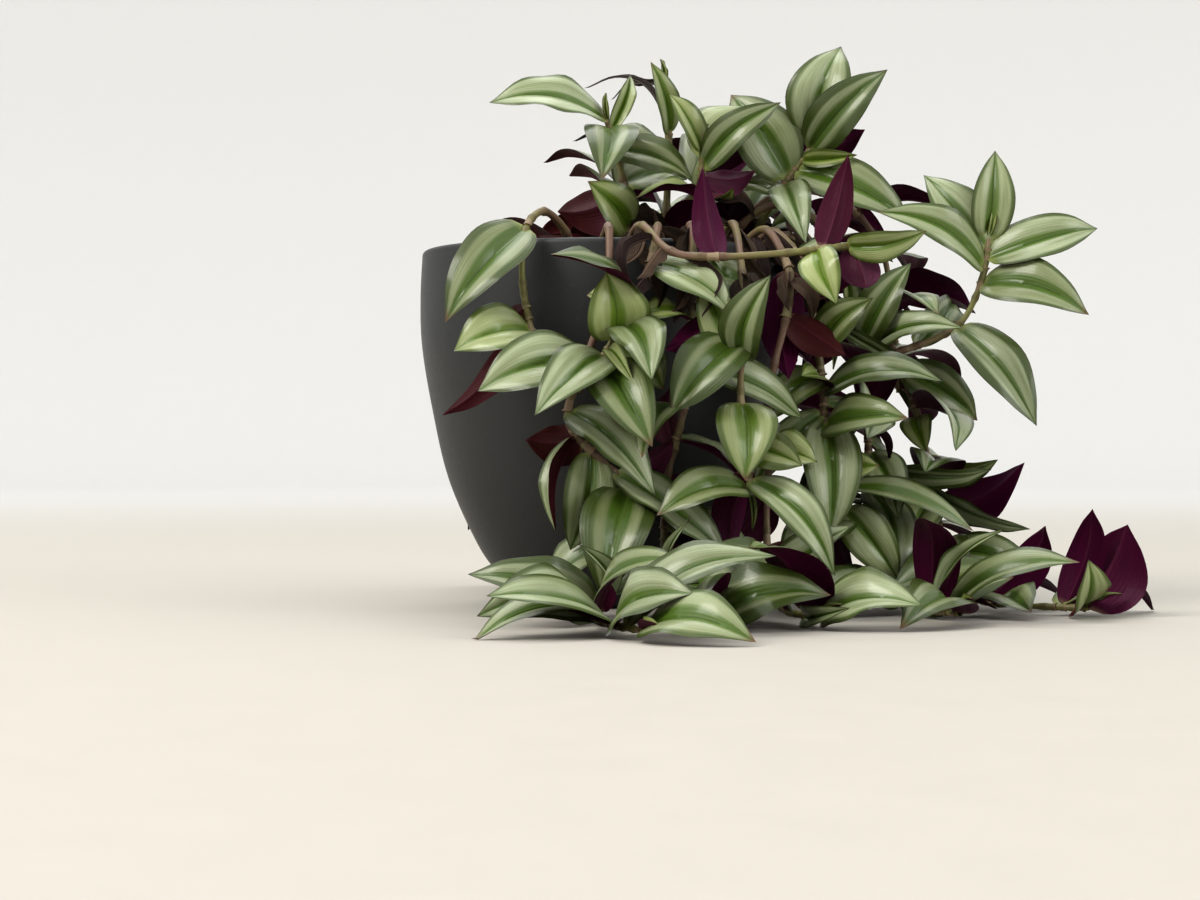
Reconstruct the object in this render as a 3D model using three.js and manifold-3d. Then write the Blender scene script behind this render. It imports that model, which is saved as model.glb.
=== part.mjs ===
// Potted tradescantia: a plain round pot, its soil, and the striped leafy stems that rise from
// the soil, arch over the rim and trail down to the surface that the pot stands on.
// Lengths are millimetres. X runs to the viewer's right, Y away from the viewer and Z up, and
// the origin is the middle of the pot's foot, on the surface.

import * as THREE from "three";
import { mergeVertices } from "three/addons/utils/BufferGeometryUtils.js";
import Module from "manifold-3d";

const wasm = await Module();
wasm.setup();

// Pot
const POT_HEIGHT = 147;
const RIM_RADIUS = 75;
const POT_WALL = 4;
const POT_FLOOR = 6;
const LIP_ROUND = POT_WALL / 2;
const POT_SIDES = 32;
const POT_SPANS = 7;
const LIP_SPANS = 4;
// Outside of the pot, from the edge of its foot to just under the lip: [radius, height]
const POT_OUTLINE = [
  [34, 0], [43, 12], [52, 25], [64, 52], [71, 82], [75.2, 108], [75.8, 128],
  [RIM_RADIUS, POT_HEIGHT - LIP_ROUND],
];

// Soil
const SOIL_TOP = POT_HEIGHT - 19;
const SOIL_RINGS = [54, 36, 18];
const HOLE_SIDES = 6;
// Its low uneven clods are crossed waves: [height, wave along x, wave along y]
const CLODS = [[1.5, 6.5, 5.5], [0.9, 3.4, 4.6]];

// Stems and leaves
const STEM_RADIUS = 1.9;
const STEM_SIDES = 4;
const ROOT_DEPTH = 20;
const ROOT_STRAIGHT = 6;
const BLADE_THICK = 1.2;
const BLADE_BOW = 0.13;
const BLADE_FOLD = 13;
const BLADE_SPREAD = 1.18;
const BLADE_WIDEST = 0.72;
const BLADE_FULLNESS = 0.9;
const BLADE_STATIONS = [0.14, 0.4, 0.73];
const BLADE_OUTER = 0.12;
const FOOT_STEP = 0.22;
const SWING_SCALES = [1, 0.86, 0.72];
const SWING_ANGLES = [9, 18, 27, 38];
const SWING_SIDES = [0, 180, 90, 270, 45, 135, 225, 315];

// Spaces kept between pieces, and under the lowest leaf
const SEAT_GAP = 0.3;
const HOLE_GAP = 0.6;
const LEAF_GAP = 0.4;
const SISTER_GAP = 0.1;
const SURFACE_GAP = 0.5;

const MERGE = 1e-3;

const at = (x, y, z) => new THREE.Vector3(x, y, z);
const UP = at(0, 0, 1);

// The plant was measured by eye from 1 m in front of the pot's axis, with the eye 64 mm above
// the surface. seen() gives the place of a point that is seen at x and z against the plane
// through the axis, and lies that many millimetres behind it, or before it where negative.
const VIEW_DISTANCE = 1000;
const EYE = at(0, -VIEW_DISTANCE, 64);
const seen = (x, depth, z) => EYE.clone().lerp(at(x, 0, z), 1 + depth / VIEW_DISTANCE);

// The same for a point near the surface, with its own height above the surface
const laid = (x, depth, height) => at(x * (1 + depth / VIEW_DISTANCE), depth, height);

// Upper faces of the leaves in front look this way, towards the viewer and the light
const VIEWER_FACE = at(0, -0.8, 0.6);

// Repeatable draws from 0 to 1
let draw = 7;
function random() {
  draw = (draw * 1664525 + 1013904223) % 4294967296;
  return draw / 4294967296;
}
const between = (low, high) => low + (high - low) * random();

// Stems that can be told apart from in front. Each has its place in the soil, its joints from
// the soil outward, and its leaves: [joint, tip, roll, width, fold]. The roll turns the leaf
// about its own length, and at 180 its underside faces the viewer. An airy stem bears no others.
const FRONT_STEMS = [
  {
    name: "stem_crown_left",
    root: [12, -8],
    joints: [seen(11, -10, 160), seen(9, -12, 178), seen(5, -13, 192), seen(2, -13, 203)],
    leaves: [
      [3, seen(-47, -22, 211), 10, 22],
      [3, seen(0, -50, 180), 0, 21],
      [3, seen(3, 6, 219), 20, 9, 40],
      [2, seen(38, -22, 179), 10, 16],
      [1, seen(36, 14, 178), 0, 20],
      [0, seen(-6, -26, 177), -20, 19],
      [1, seen(-17, -14, 160), 180, 24],
      [0, seen(-28, -26, 153), 170, 15],
    ],
  },
  {
    name: "stem_crown_thin",
    root: [27, 14],
    joints: [seen(27, 14, 165), seen(28, 15, 185), seen(28, 16, 202), seen(27, 17, 218)],
    leaves: [
      [2, seen(2, 10, 229), 60, 8, 50],
      [3, seen(4, 22, 214), 80, 14],
      [2, seen(21, 2, 227), 20, 12],
      [1, seen(-12, 30, 196), 20, 20],
    ],
  },
  {
    name: "stem_crown_middle",
    root: [41, -16],
    joints: [seen(42, -22, 160), seen(42, -25, 175), seen(42, -27, 191)],
    leaves: [
      [2, seen(29, -32, 214), 15, 13],
      [2, seen(56, -22, 218), -10, 22],
      [2, seen(75, -34, 210), 25, 14],
      [1, seen(55, -40, 173), 150, 12],
      [1, seen(14, -36, 170), 30, 10, 40],
      [2, seen(64, -18, 180), 180, 14],
    ],
  },
  {
    name: "stem_crown_right",
    root: [57, 6],
    joints: [seen(66, 0, 160), seen(78, -4, 178), seen(91, -6, 195)],
    leaves: [
      [2, seen(100, -6, 234), 0, 26],
      [2, seen(121, -8, 222), 20, 19],
      [2, seen(108, -14, 190), 30, 9, 35],
      [2, seen(131, -24, 164), 10, 21],
      [1, seen(86, -34, 148), 10, 16],
      [2, seen(54, 4, 213), -15, 26],
      [1, seen(53, 14, 174), 10, 16],
    ],
  },
  {
    name: "stem_level",
    airy: true,
    root: [10, -46],
    joints: [
      at(11, -60, 148), at(15, -80, 153), seen(28, -99, 146), seen(50, -101, 145),
      seen(79, -98, 147), seen(95, -94, 149), seen(106, -90, 150),
    ],
    leaves: [
      [3, seen(42, -86, 183), 180, 13, 30],
      [5, seen(103, -82, 188), 190, 12],
      [6, seen(111, -104, 132), 180, 15],
      [5, seen(98, -108, 126), 20, 15],
      [6, seen(136, -100, 156), 60, 12],
    ],
  },
  {
    name: "stem_far_right",
    airy: true,
    root: [56, -8],
    joints: [
      at(64, -10, 150), at(78, -13, 155), seen(92, -22, 140), seen(97, -24, 118),
      seen(114, -26, 103), seen(133, -26, 108), seen(151, -26, 116), seen(160, -24, 136),
      seen(162, -22, 154),
    ],
    leaves: [
      [4, seen(150, -52, 117), 0, 15],
      [4, seen(129, -34, 143), 0, 17],
      [4, seen(103, -22, 144), 10, 9, 40],
      [3, seen(84, -30, 142), 150, 12],
      [5, seen(151, 6, 132), 20, 14],
      [4, seen(144, -44, 90), 30, 8, 45],
      [6, seen(182, -44, 74), 0, 21],
      [8, seen(165, -20, 190), 10, 17],
      [8, seen(135, -12, 180), 0, 21],
      [8, seen(207, -30, 163), 0, 21],
      [8, seen(116, -36, 165), -10, 17],
      [7, seen(204, -44, 122), 10, 21],
    ],
  },
  {
    name: "stem_left",
    root: [20, -48],
    joints: [
      at(21, -62, 149), at(22, -78, 153), seen(20, -89, 140), seen(13, -92, 123),
      seen(4, -95, 109), seen(-3, -98, 98),
    ],
    leaves: [
      [5, seen(-52, -112, 90), 0, 26],
      [5, seen(21, -122, 60), 0, 23],
      [4, seen(2, -104, 139), 10, 24],
      [5, seen(-29, -126, 74), 0, 21],
      [5, seen(5, -118, 86), 30, 8, 40],
      [4, seen(27, -98, 91), 10, 18],
      [3, seen(0, -100, 138), 10, 15],
    ],
  },
  {
    name: "stem_left_rim",
    airy: true,
    root: [-8, -36],
    joints: [
      at(-14, -48, 152), at(-23, -62, 160), seen(-33, -80, 158), seen(-34, -84, 134),
      seen(-29, -88, 112),
    ],
    leaves: [
      [2, seen(-66, -98, 119), 0, 23],
      [4, seen(-62, -100, 107), 0, 23],
      [4, seen(-66, -86, 78), 180, 13],
      [4, seen(-53, -84, 117), 180, 11],
    ],
  },
  {
    name: "stem_left_long",
    root: [-1, -50],
    joints: [
      at(1, -64, 149), at(3, -78, 153), seen(3, -86, 130), seen(-6, -90, 104),
      seen(-17, -92, 77), seen(-3, -94, 62), seen(14, -93, 47), seen(11, -94, 24),
      laid(4, -97, 9), laid(-4, -122, 3.5), laid(-2, -150, 3.5), laid(6, -176, 3.5),
      laid(18, -198, 3.5),
    ],
    leaves: [
      [6, seen(1, -112, -1), 0, 26],
      [5, seen(-12, -98, 22), -20, 20],
      [5, seen(-29, -104, 72), 160, 16],
      [5, seen(-19, -104, 30), 60, 12, 45],
      [6, seen(31, -90, 66), 180, 14],
      [9, laid(-55, -142, 14), -10, 22],
      [10, laid(-56, -178, 3), 0, 24],
      [10, laid(24, -186, 16), 10, 20],
      [11, laid(52, -196, 4), 0, 24],
      [11, laid(-30, -214, 3), 0, 22],
      [12, laid(52, -232, 4), 0, 22],
      [12, laid(30, -236, 20), 170, 18],
      [12, laid(14, -222, 22), 20, 9, 40],
      [9, laid(-12, -140, 34), 20, 12, 40],
    ],
  },
  {
    name: "stem_front",
    airy: true,
    root: [42, -40],
    joints: [
      at(47, -52, 148), at(52, -64, 156), seen(59, -90, 138), seen(59, -96, 118),
      seen(58, -98, 101), seen(58, -98, 82), seen(61, -100, 64), seen(62, -100, 46),
    ],
    leaves: [
      [4, seen(71, -120, 138), 10, 17],
      [4, seen(44, -92, 137), -35, 16],
      [3, seen(22, -112, 136), -20, 13],
      [3, seen(27, -110, 108), 170, 14],
      [4, seen(33, -118, 80), 0, 23],
      [5, seen(60, -116, 52), 0, 22],
      [7, seen(23, -116, 38), 10, 20],
      [7, seen(98, -120, 13), 0, 16],
      [7, seen(70, -112, 20), 150, 16],
      [6, seen(84, -104, 58), 20, 15],
    ],
  },
  {
    name: "stem_front_long",
    root: [32, -46],
    joints: [
      at(33, -60, 149), at(35, -74, 154), seen(38, -87, 138), seen(38, -88, 116),
      seen(37, -88, 98), seen(34, -89, 80), seen(30, -88, 64), seen(26, -88, 48),
      seen(26, -90, 24), laid(26, -98, 9), laid(34, -120, 3.5), laid(46, -144, 3.5),
    ],
    leaves: [
      [6, seen(18, -98, 84), 180, 15],
      [7, seen(45, -92, 50), 180, 18],
      [8, seen(48, -98, 22), 180, 20],
      [9, laid(64, -142, 8), 0, 30],
      [10, laid(76, -124, 22), 10, 20],
      [11, laid(94, -160, 4), 0, 24],
      [11, laid(56, -190, 3), 0, 24],
      [11, laid(66, -164, 28), 20, 10, 40],
      [3, seen(14, -96, 120), 20, 14],
    ],
  },
  {
    name: "stem_purple",
    airy: true,
    root: [50, -31],
    joints: [
      at(58, -42, 149), at(66, -52, 154), seen(80, -66, 138), seen(77, -70, 118),
      seen(72, -72, 100), seen(69, -74, 84), seen(70, -74, 64), seen(69, -75, 44),
      seen(69, -80, 22), laid(71, -92, 7), laid(78, -114, 3.5), laid(94, -136, 3.5),
    ],
    leaves: [
      [2, seen(73, -80, 96), 180, 16],
      [4, seen(79, -84, 82), 170, 20],
      [3, seen(92, -78, 96), 180, 14],
      [6, seen(90, -82, 60), 10, 16],
      [7, seen(52, -82, 24), 170, 18],
      [8, laid(98, -108, 20), 180, 16],
      [10, laid(40, -142, 22), 10, 24],
      [11, laid(134, -160, 4), 0, 24],
      [11, laid(84, -184, 4), 0, 24],
      [11, laid(102, -158, 28), 10, 10, 40],
      [9, laid(112, -112, 26), 10, 20],
    ],
  },
  {
    name: "stem_front_right",
    root: [54, -21],
    joints: [
      at(62, -27, 149), at(70, -32, 155), seen(84, -46, 144), seen(88, -52, 124),
      seen(91, -56, 104), seen(93, -60, 86), seen(93, -62, 73), seen(97, -60, 52),
      seen(104, -60, 34),
    ],
    leaves: [
      [5, seen(142, -84, 95), -10, 19],
      [6, seen(127, -92, 79), 10, 19],
      [5, seen(84, -76, 96), 0, 14],
      [6, seen(96, -88, 31), 0, 22],
      [6, seen(66, -66, 46), 10, 14],
      [8, seen(76, -86, 14), 10, 21],
      [4, seen(110, -76, 128), 20, 16],
      [7, seen(116, -70, 58), 20, 14],
      [8, seen(124, -76, 12), 20, 18],
      [8, seen(112, -66, 8), 150, 14],
    ],
  },
  {
    name: "stem_right_long",
    root: [58, 14],
    joints: [
      at(68, 14, 150), at(80, 12, 154), seen(100, 4, 140), seen(116, -4, 118),
      seen(127, -8, 96), seen(133, -12, 76), seen(137, -14, 56), seen(140, -18, 38),
      seen(144, -28, 20), laid(150, -46, 6), laid(166, -62, 3.5), laid(186, -74, 3.5),
      laid(204, -82, 3.5),
    ],
    leaves: [
      [5, seen(136, -34, 63), 20, 13],
      [6, seen(166, -26, 60), 90, 14],
      [7, seen(173, -40, 62), 180, 20],
      [7, seen(127, -36, 22), 0, 17],
      [7, seen(176, -30, 20), 80, 11],
      [8, seen(184, -52, 12), 0, 18],
      [8, seen(153, -56, 10), 10, 17],
      [8, seen(122, -54, 18), 0, 20],
      [10, laid(180, -106, 3), 0, 22],
      [10, laid(176, -90, 34), 180, 18],
      [11, laid(190, -112, 26), 180, 26],
      [12, laid(232, -96, 26), 180, 30],
      [12, laid(226, -122, 5), 180, 24],
      [12, laid(216, -84, 40), 190, 14],
      [9, laid(122, -84, 12), 0, 22],
      [9, laid(196, -92, 30), 0, 18],
      [4, seen(150, 0, 70), 20, 18],
    ],
  },
  {
    name: "stem_right_inner",
    root: [44, -2],
    joints: [
      at(58, -8, 160), at(74, -10, 168), at(90, -12, 160), seen(104, -16, 128),
      seen(108, -22, 104), seen(111, -30, 78), seen(112, -32, 56), seen(113, -36, 36),
      seen(117, -44, 16), laid(122, -64, 4), laid(134, -90, 3.5), laid(150, -114, 3.5),
    ],
    leaves: [
      [6, seen(163, -44, 54), 85, 14],
      [6, seen(123, -48, 29), 0, 17],
      [2, seen(58, 12, 164), 0, 16],
      [5, seen(94, -44, 56), 20, 14],
      [7, seen(124, -50, 74), 20, 18],
      [7, seen(78, -48, 34), 20, 16],
      [9, laid(104, -98, 24), 10, 24],
      [10, laid(172, -98, 16), 0, 22],
      [11, laid(126, -160, 4), 10, 22],
      [11, laid(188, -150, 4), 0, 22],
      [11, laid(162, -140, 32), 10, 10, 40],
    ],
  },
];

// Stems that no view from in front tells apart fill the back and the middle. Each rises at its
// own heading, counted in degrees from +X towards +Y, and leans until it trails, a joint at a
// time. Its leaves point up by their lift. Those on the left stay low, out of the photo's sight.
// [name, heading, distance of its root from the axis, joints, first slope, fall a joint, lift]
const REAR_STEMS = [
  ["stem_rear_1", 17, 54, 9, 64, 32, 0.1],
  ["stem_rear_2", 33, 48, 8, 66, 29, 0.1],
  ["stem_rear_3", 47, 54, 10, 62, 33, 0.1],
  ["stem_rear_4", 61, 47, 8, 66, 30, 0.1],
  ["stem_rear_5", 75, 54, 10, 52, 34, 0],
  ["stem_rear_6", 90, 50, 7, 40, 31, -0.2],
  ["stem_rear_7", 106, 54, 9, 34, 32, -0.3],
  ["stem_top_1", 74, 26, 3, 78, 18, 0.1],
  ["stem_top_2", 20, 30, 3, 74, 20, 0.1],
];
const REAR_START = 18;
const REAR_STEP = 20;
const REAR_SWAY = 4;
const REAR_FALL = [0.8, 1.2];
const STEEPEST_FALL = -86;
const LEAF_LENGTH = [38, 50];
const LEAF_WIDTH = [18, 23];
const YOUNG_SCALE = 0.62;
const LEAF_ROLL = [-25, 25];
// Shares of a leaf's direction: sideways, along its stem, away from the pot and up
const LEAF_SIDEWAYS = [0.7, 1];
const LEAF_FORWARD = [0.3, 0.6];
const REAR_REACH = [0.25, 0.55];
const FIRST_TURN = -1;
const SHADE_REACH = [0.05, 0.3];
const SHADE_LIFT = 0.1;
// None of those hangs further left than this, before the bare side of the pot
const SHADE_LEFT = -36;
const LIFT_SPREAD = 0.2;
// Upper faces of those leaves look away from the pot's axis and up
const GROWN_FACE = { outward: 0.6, up: 0.8 };

const MATERIALS = {
  pot: { color: 0x23262b, roughness: 0.62, metalness: 0 },
  soil: { color: 0x2b2018, roughness: 0.95, metalness: 0 },
  leaf: { color: 0x7f9f6b, roughness: 0.42, metalness: 0 },
};

// A closed geometry as a solid that can be joined and cut
function solid(geometry) {
  geometry.deleteAttribute("normal");
  geometry.deleteAttribute("uv");
  const merged = mergeVertices(geometry, MERGE);
  const index = merged.index.array;
  const triVerts = [];
  for (let i = 0; i < index.length; i += 3) {
    const [a, b, c] = [index[i], index[i + 1], index[i + 2]];
    if (a !== b && b !== c && c !== a) {
      triVerts.push(a, b, c);
    }
  }
  return new wasm.Manifold(new wasm.Mesh({
    numProp: 3,
    vertProperties: new Float32Array(merged.getAttribute("position").array),
    triVerts: new Uint32Array(triVerts),
  }));
}

function mesh(name, body, material) {
  const { vertProperties, triVerts } = body.getMesh();
  const geometry = new THREE.BufferGeometry();
  geometry.setAttribute("position", new THREE.BufferAttribute(vertProperties, 3));
  geometry.setIndex(new THREE.BufferAttribute(triVerts, 1));
  geometry.computeVertexNormals();
  const made = new THREE.Mesh(geometry, new THREE.MeshStandardMaterial(MATERIALS[material]));
  made.name = name;
  return made;
}

// Pot and soil are turned about the Z axis
function turned(profile) {
  const geometry = new THREE.LatheGeometry(profile, POT_SIDES);
  geometry.rotateX(Math.PI / 2);
  return geometry;
}

const outside = new THREE.SplineCurve(POT_OUTLINE.map(([r, z]) => new THREE.Vector2(r, z)))
  .getPoints(POT_SPANS);

// Radius of the pot's outside at a height
function potRadius(height) {
  const above = Math.max(1, outside.findIndex((p) => p.y >= height));
  const [low, high] = [outside[above - 1], outside[above]];
  return THREE.MathUtils.mapLinear(height, low.y, high.y, low.x, high.x);
}

// Points of the cavity's wall between two heights, this far in from the pot's outside
function cavityWall(bottom, top, inset) {
  const inner = outside.filter((p) => p.y > bottom && p.y < top);
  return [
    new THREE.Vector2(potRadius(bottom) - inset, bottom),
    ...inner.map((p) => new THREE.Vector2(p.x - inset, p.y)),
    new THREE.Vector2(potRadius(top) - inset, top),
  ];
}

function makePot() {
  const lipHeight = POT_HEIGHT - LIP_ROUND;
  const lip = [];
  for (let i = 1; i < LIP_SPANS; i += 1) {
    const turn = (Math.PI * i) / LIP_SPANS;
    lip.push(new THREE.Vector2(
      RIM_RADIUS - LIP_ROUND + LIP_ROUND * Math.cos(turn),
      lipHeight + LIP_ROUND * Math.sin(turn),
    ));
  }
  return solid(turned([
    new THREE.Vector2(0, 0),
    ...outside,
    ...lip,
    ...cavityWall(POT_FLOOR, lipHeight, POT_WALL).reverse(),
    new THREE.Vector2(0, POT_FLOOR),
  ]));
}

// Height of the soil's clods over its level
const clods = (x, y) => CLODS.reduce(
  (sum, [height, waveX, waveY]) => sum + height * Math.sin(x / waveX + 1) * Math.cos(y / waveY),
  0,
);

function makeSoil(stems) {
  const bottom = POT_FLOOR + SEAT_GAP;
  const geometry = turned([
    new THREE.Vector2(0, bottom),
    ...cavityWall(bottom, SOIL_TOP, POT_WALL + SEAT_GAP),
    ...SOIL_RINGS.map((radius) => new THREE.Vector2(radius, SOIL_TOP)),
    new THREE.Vector2(0, SOIL_TOP),
  ]);
  const position = geometry.getAttribute("position");
  for (let i = 0; i < position.count; i += 1) {
    const [x, y] = [position.getX(i), position.getY(i)];
    if (position.getZ(i) > SOIL_TOP - MERGE && Math.hypot(x, y) < SOIL_RINGS[0] + MERGE) {
      position.setZ(i, SOIL_TOP + clods(x, y));
    }
  }
  const radius = STEM_RADIUS + HOLE_GAP;
  const holes = stems.map((stem) => {
    const hole = new THREE.CylinderGeometry(radius, radius, 2 * ROOT_DEPTH, HOLE_SIDES);
    hole.rotateX(Math.PI / 2);
    hole.translate(...stem.root, SOIL_TOP - SEAT_GAP);
    return solid(hole);
  });
  return solid(geometry).subtract(wasm.Manifold.union(holes));
}

// Middle line of a stem: straight up out of the soil, then bending at each joint to the next
const ROOT_HEIGHTS = [-ROOT_DEPTH, -ROOT_STRAIGHT, ROOT_STRAIGHT];
const route = ({ root, joints }) => [
  ...ROOT_HEIGHTS.map((height) => at(...root, SOIL_TOP + height)),
  ...joints,
];

// Where the leaf of this rank at a joint starts: one by one, a little further back on the stem
function footOf(stem, joint, rank) {
  const points = route(stem);
  const place = ROOT_HEIGHTS.length + joint - (rank + 0.5) * FOOT_STEP;
  const before = Math.floor(place);
  return points[before].clone().lerp(points[before + 1], place - before);
}

function stemTube(stem) {
  const section = new THREE.Shape();
  for (let i = 0; i < STEM_SIDES; i += 1) {
    const turn = (2 * Math.PI * i) / STEM_SIDES;
    const corner = [STEM_RADIUS * Math.cos(turn), STEM_RADIUS * Math.sin(turn)];
    if (i === 0) {
      section.moveTo(...corner);
    } else {
      section.lineTo(...corner);
    }
  }
  const extrudePath = new THREE.CatmullRomCurve3(route(stem));
  // One ring of the tube at each joint
  extrudePath.getUtoTmapping = (u) => u;
  const steps = extrudePath.points.length - 1;
  return solid(new THREE.ExtrudeGeometry(section, { extrudePath, steps }));
}

// Half of the blade's width at u, from 0 at its base to 1 at its tip, as a share of its widest
const halfWidth = (u) => Math.sin(Math.PI * u ** BLADE_WIDEST) ** BLADE_FULLNESS;

// Frame of a leaf after it swings away from its drawn place
function leafFrame(leaf, swing) {
  const drawn = leaf.tip.clone().sub(leaf.base);
  const length = drawn.length();
  drawn.normalize();
  const face = leaf.face.clone().addScaledVector(drawn, -leaf.face.dot(drawn)).normalize();
  face.applyAxisAngle(drawn, THREE.MathUtils.degToRad(leaf.roll));
  const side = drawn.clone().cross(face);
  const toward = THREE.MathUtils.degToRad(swing.toward);
  const swung = face.clone().multiplyScalar(Math.cos(toward)).addScaledVector(side, Math.sin(toward));
  const axis = drawn.clone().cross(swung).normalize();
  const angle = THREE.MathUtils.degToRad(swing.angle);
  return {
    along: drawn.applyAxisAngle(axis, angle).multiplyScalar(length * swing.scale),
    face: face.applyAxisAngle(axis, angle),
    side: side.applyAxisAngle(axis, angle),
  };
}

// Blade of a leaf from its station `start` to its tip: arched along its length, folded up along
// its midrib, thickest there and sharp at its margins
function bladeSolid(leaf, swing, start) {
  const { along, face, side } = leafFrame(leaf, swing);
  const length = along.length();
  const fold = THREE.MathUtils.degToRad(leaf.fold);
  const midrib = (u) => leaf.base.clone().addScaledVector(along, u)
    .addScaledVector(face, BLADE_BOW * length * Math.sin(Math.PI * u));
  const points = [midrib(start)];
  const stations = BLADE_STATIONS.filter((u) => u > start);
  for (const u of stations) {
    const half = BLADE_SPREAD * (leaf.width / 2) * halfWidth(u) * swing.scale;
    const [spread, rise] = [half * Math.cos(fold), half * Math.sin(fold)];
    points.push(
      midrib(u).addScaledVector(side, -spread).addScaledVector(face, rise),
      midrib(u).addScaledVector(face, BLADE_THICK / 2),
      midrib(u).addScaledVector(side, spread).addScaledVector(face, rise),
      midrib(u).addScaledVector(face, -BLADE_THICK / 2),
    );
  }
  points.push(midrib(1));
  const last = points.length - 1;
  const index = [];
  for (let corner = 0; corner < 4; corner += 1) {
    const next = (corner + 1) % 4;
    index.push(0, 1 + next, 1 + corner);
    index.push(last, last - 4 + corner, last - 4 + next);
    for (let ring = 1; ring + 4 < last; ring += 4) {
      const [a, b, c, d] = [ring + corner, ring + next, ring + 4 + next, ring + 4 + corner];
      // Both faces are split from a margin to the midrib, so a twisted blade never crosses itself
      if (corner % 2 === 0) {
        index.push(a, b, c, a, c, d);
      } else {
        index.push(a, b, d, b, c, d);
      }
    }
  }
  const geometry = new THREE.BufferGeometry().setFromPoints(points);
  geometry.setIndex(index);
  return solid(geometry);
}

// Ways for a leaf to swing clear of what is in its way: by each angle toward each side, where 0
// is the side of its upper face, and then again as a smaller leaf
const SWINGS = [];
for (const scale of SWING_SCALES) {
  SWINGS.push({ angle: 0, toward: 0, scale });
  for (const angle of SWING_ANGLES) {
    for (const toward of SWING_SIDES) {
      SWINGS.push({ angle, toward, scale });
    }
  }
}

// Whether two boxes come within a distance of each other
const boxesMeet = (a, b, room) => [0, 1, 2].every(
  (i) => a.min[i] < b.max[i] + room && b.min[i] < a.max[i] + room,
);

const piece = (body, owner, outer = body) => ({ body, owner, outer, box: body.boundingBox() });

// A leaf grown by rule at a joint: to the left (-1), the right (1) or straight on (0), spreading
// outward from the pot's axis and along the stem, which runs on from here as `along` says
function grownLeaf(joints, joint, turn, along, reach, lift) {
  const out = at(joints[joint].x, joints[joint].y, 0).normalize();
  const side = UP.clone().cross(out);
  const young = turn === 0 ? YOUNG_SCALE : 1;
  const direction = side.multiplyScalar(turn * between(...LEAF_SIDEWAYS))
    .addScaledVector(along, between(...LEAF_FORWARD))
    .addScaledVector(out, between(...reach))
    .addScaledVector(UP, lift + between(-LIFT_SPREAD, LIFT_SPREAD))
    .normalize();
  const tip = joints[joint].clone().addScaledVector(direction, young * between(...LEAF_LENGTH));
  return [joint, tip, between(...LEAF_ROLL), young * between(...LEAF_WIDTH)];
}

const sideOf = (joint) => (joint % 2 === 0 ? 1 : -1);

// Joints and leaves of a rear stem, as FRONT_STEMS gives them for the others
function rearStem([name, headingDegrees, rootDistance, count, firstSlope, fallPerJoint, lift]) {
  const heading = THREE.MathUtils.degToRad(headingDegrees);
  const out = at(Math.cos(heading), Math.sin(heading), 0);
  const side = UP.clone().cross(out);
  const root = [out.x * rootDistance, out.y * rootDistance];
  const point = at(...root, SOIL_TOP + REAR_START);
  const joints = [point.clone()];
  const leaves = [grownLeaf(joints, 0, FIRST_TURN, UP, REAR_REACH, lift)];
  let slope = firstSlope;
  while (joints.length < count) {
    const pitch = THREE.MathUtils.degToRad(slope);
    const along = out.clone().multiplyScalar(Math.cos(pitch)).addScaledVector(UP, Math.sin(pitch));
    point.addScaledVector(along, REAR_STEP).addScaledVector(side, between(-REAR_SWAY, REAR_SWAY));
    joints.push(point.clone());
    const turns = joints.length === count ? [-1, 1, 0] : [sideOf(joints.length)];
    leaves.push(...turns.map(
      (turn) => grownLeaf(joints, joints.length - 1, turn, along, REAR_REACH, lift),
    ));
    slope = Math.max(STEEPEST_FALL, slope - fallPerJoint * between(...REAR_FALL));
  }
  return { name, root, joints, leaves, shade: [], ranks: [] };
}

// Leaves in the shade of those in front, up to one at each joint that hangs in front of the pot
function shadeLeaves({ joints, airy }) {
  const leaves = [];
  for (let joint = 1; joint < joints.length; joint += 1) {
    if (!airy && joints[joint].z < POT_HEIGHT) {
      const along = joints[joint].clone().sub(joints[joint - 1]).normalize();
      leaves.push(grownLeaf(joints, joint, sideOf(joint), along, SHADE_REACH, SHADE_LIFT));
    }
  }
  return leaves.filter(([, tip]) => tip.x > SHADE_LEFT);
}

const frontStems = FRONT_STEMS.map((stem) => ({ ...stem, shade: shadeLeaves(stem), ranks: [] }));
const stems = [...frontStems, ...REAR_STEMS.map(rearStem)];
const pot = makePot();
const soil = makeSoil(stems);
const tubes = stems.map(stemTube);

// Leaves are laid one by one, each clear of the pot, the soil and all that lies there already.
// A leaf that finds no room is left out, as a shaded leaf is shed.
const placed = [piece(pot, "pot"), piece(soil, "soil")];
stems.forEach((stem, i) => placed.push(piece(tubes[i], stem.name)));

function inTheWay(other, blade, outer, owner) {
  if (!boxesMeet(blade.boundingBox(), other.box, LEAF_GAP)) {
    return false;
  }
  if (other.owner === owner) {
    return outer.minGap(other.outer, SISTER_GAP) < SISTER_GAP;
  }
  return blade.minGap(other.body, LEAF_GAP) < LEAF_GAP;
}

function layLeaf(leaf, owner) {
  for (const swing of SWINGS) {
    const blade = bladeSolid(leaf, swing, 0);
    if (blade.boundingBox().min[2] < SURFACE_GAP) {
      continue;
    }
    const outer = bladeSolid(leaf, swing, BLADE_OUTER);
    if (!placed.some((other) => inTheWay(other, blade, outer, owner))) {
      placed.push(piece(blade, owner, outer));
      return;
    }
  }
}

const outwardFace = (tip) => at(tip.x, tip.y, 0).setLength(GROWN_FACE.outward)
  .addScaledVector(UP, GROWN_FACE.up);

function layLeaves(stem, leaves, faceOf) {
  for (const [joint, tip, roll, width, fold = BLADE_FOLD] of leaves) {
    stem.ranks[joint] = (stem.ranks[joint] ?? -1) + 1;
    const base = footOf(stem, joint, stem.ranks[joint]);
    layLeaf({ base, tip, roll, width, fold, face: faceOf(tip) }, stem.name);
  }
}

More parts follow.
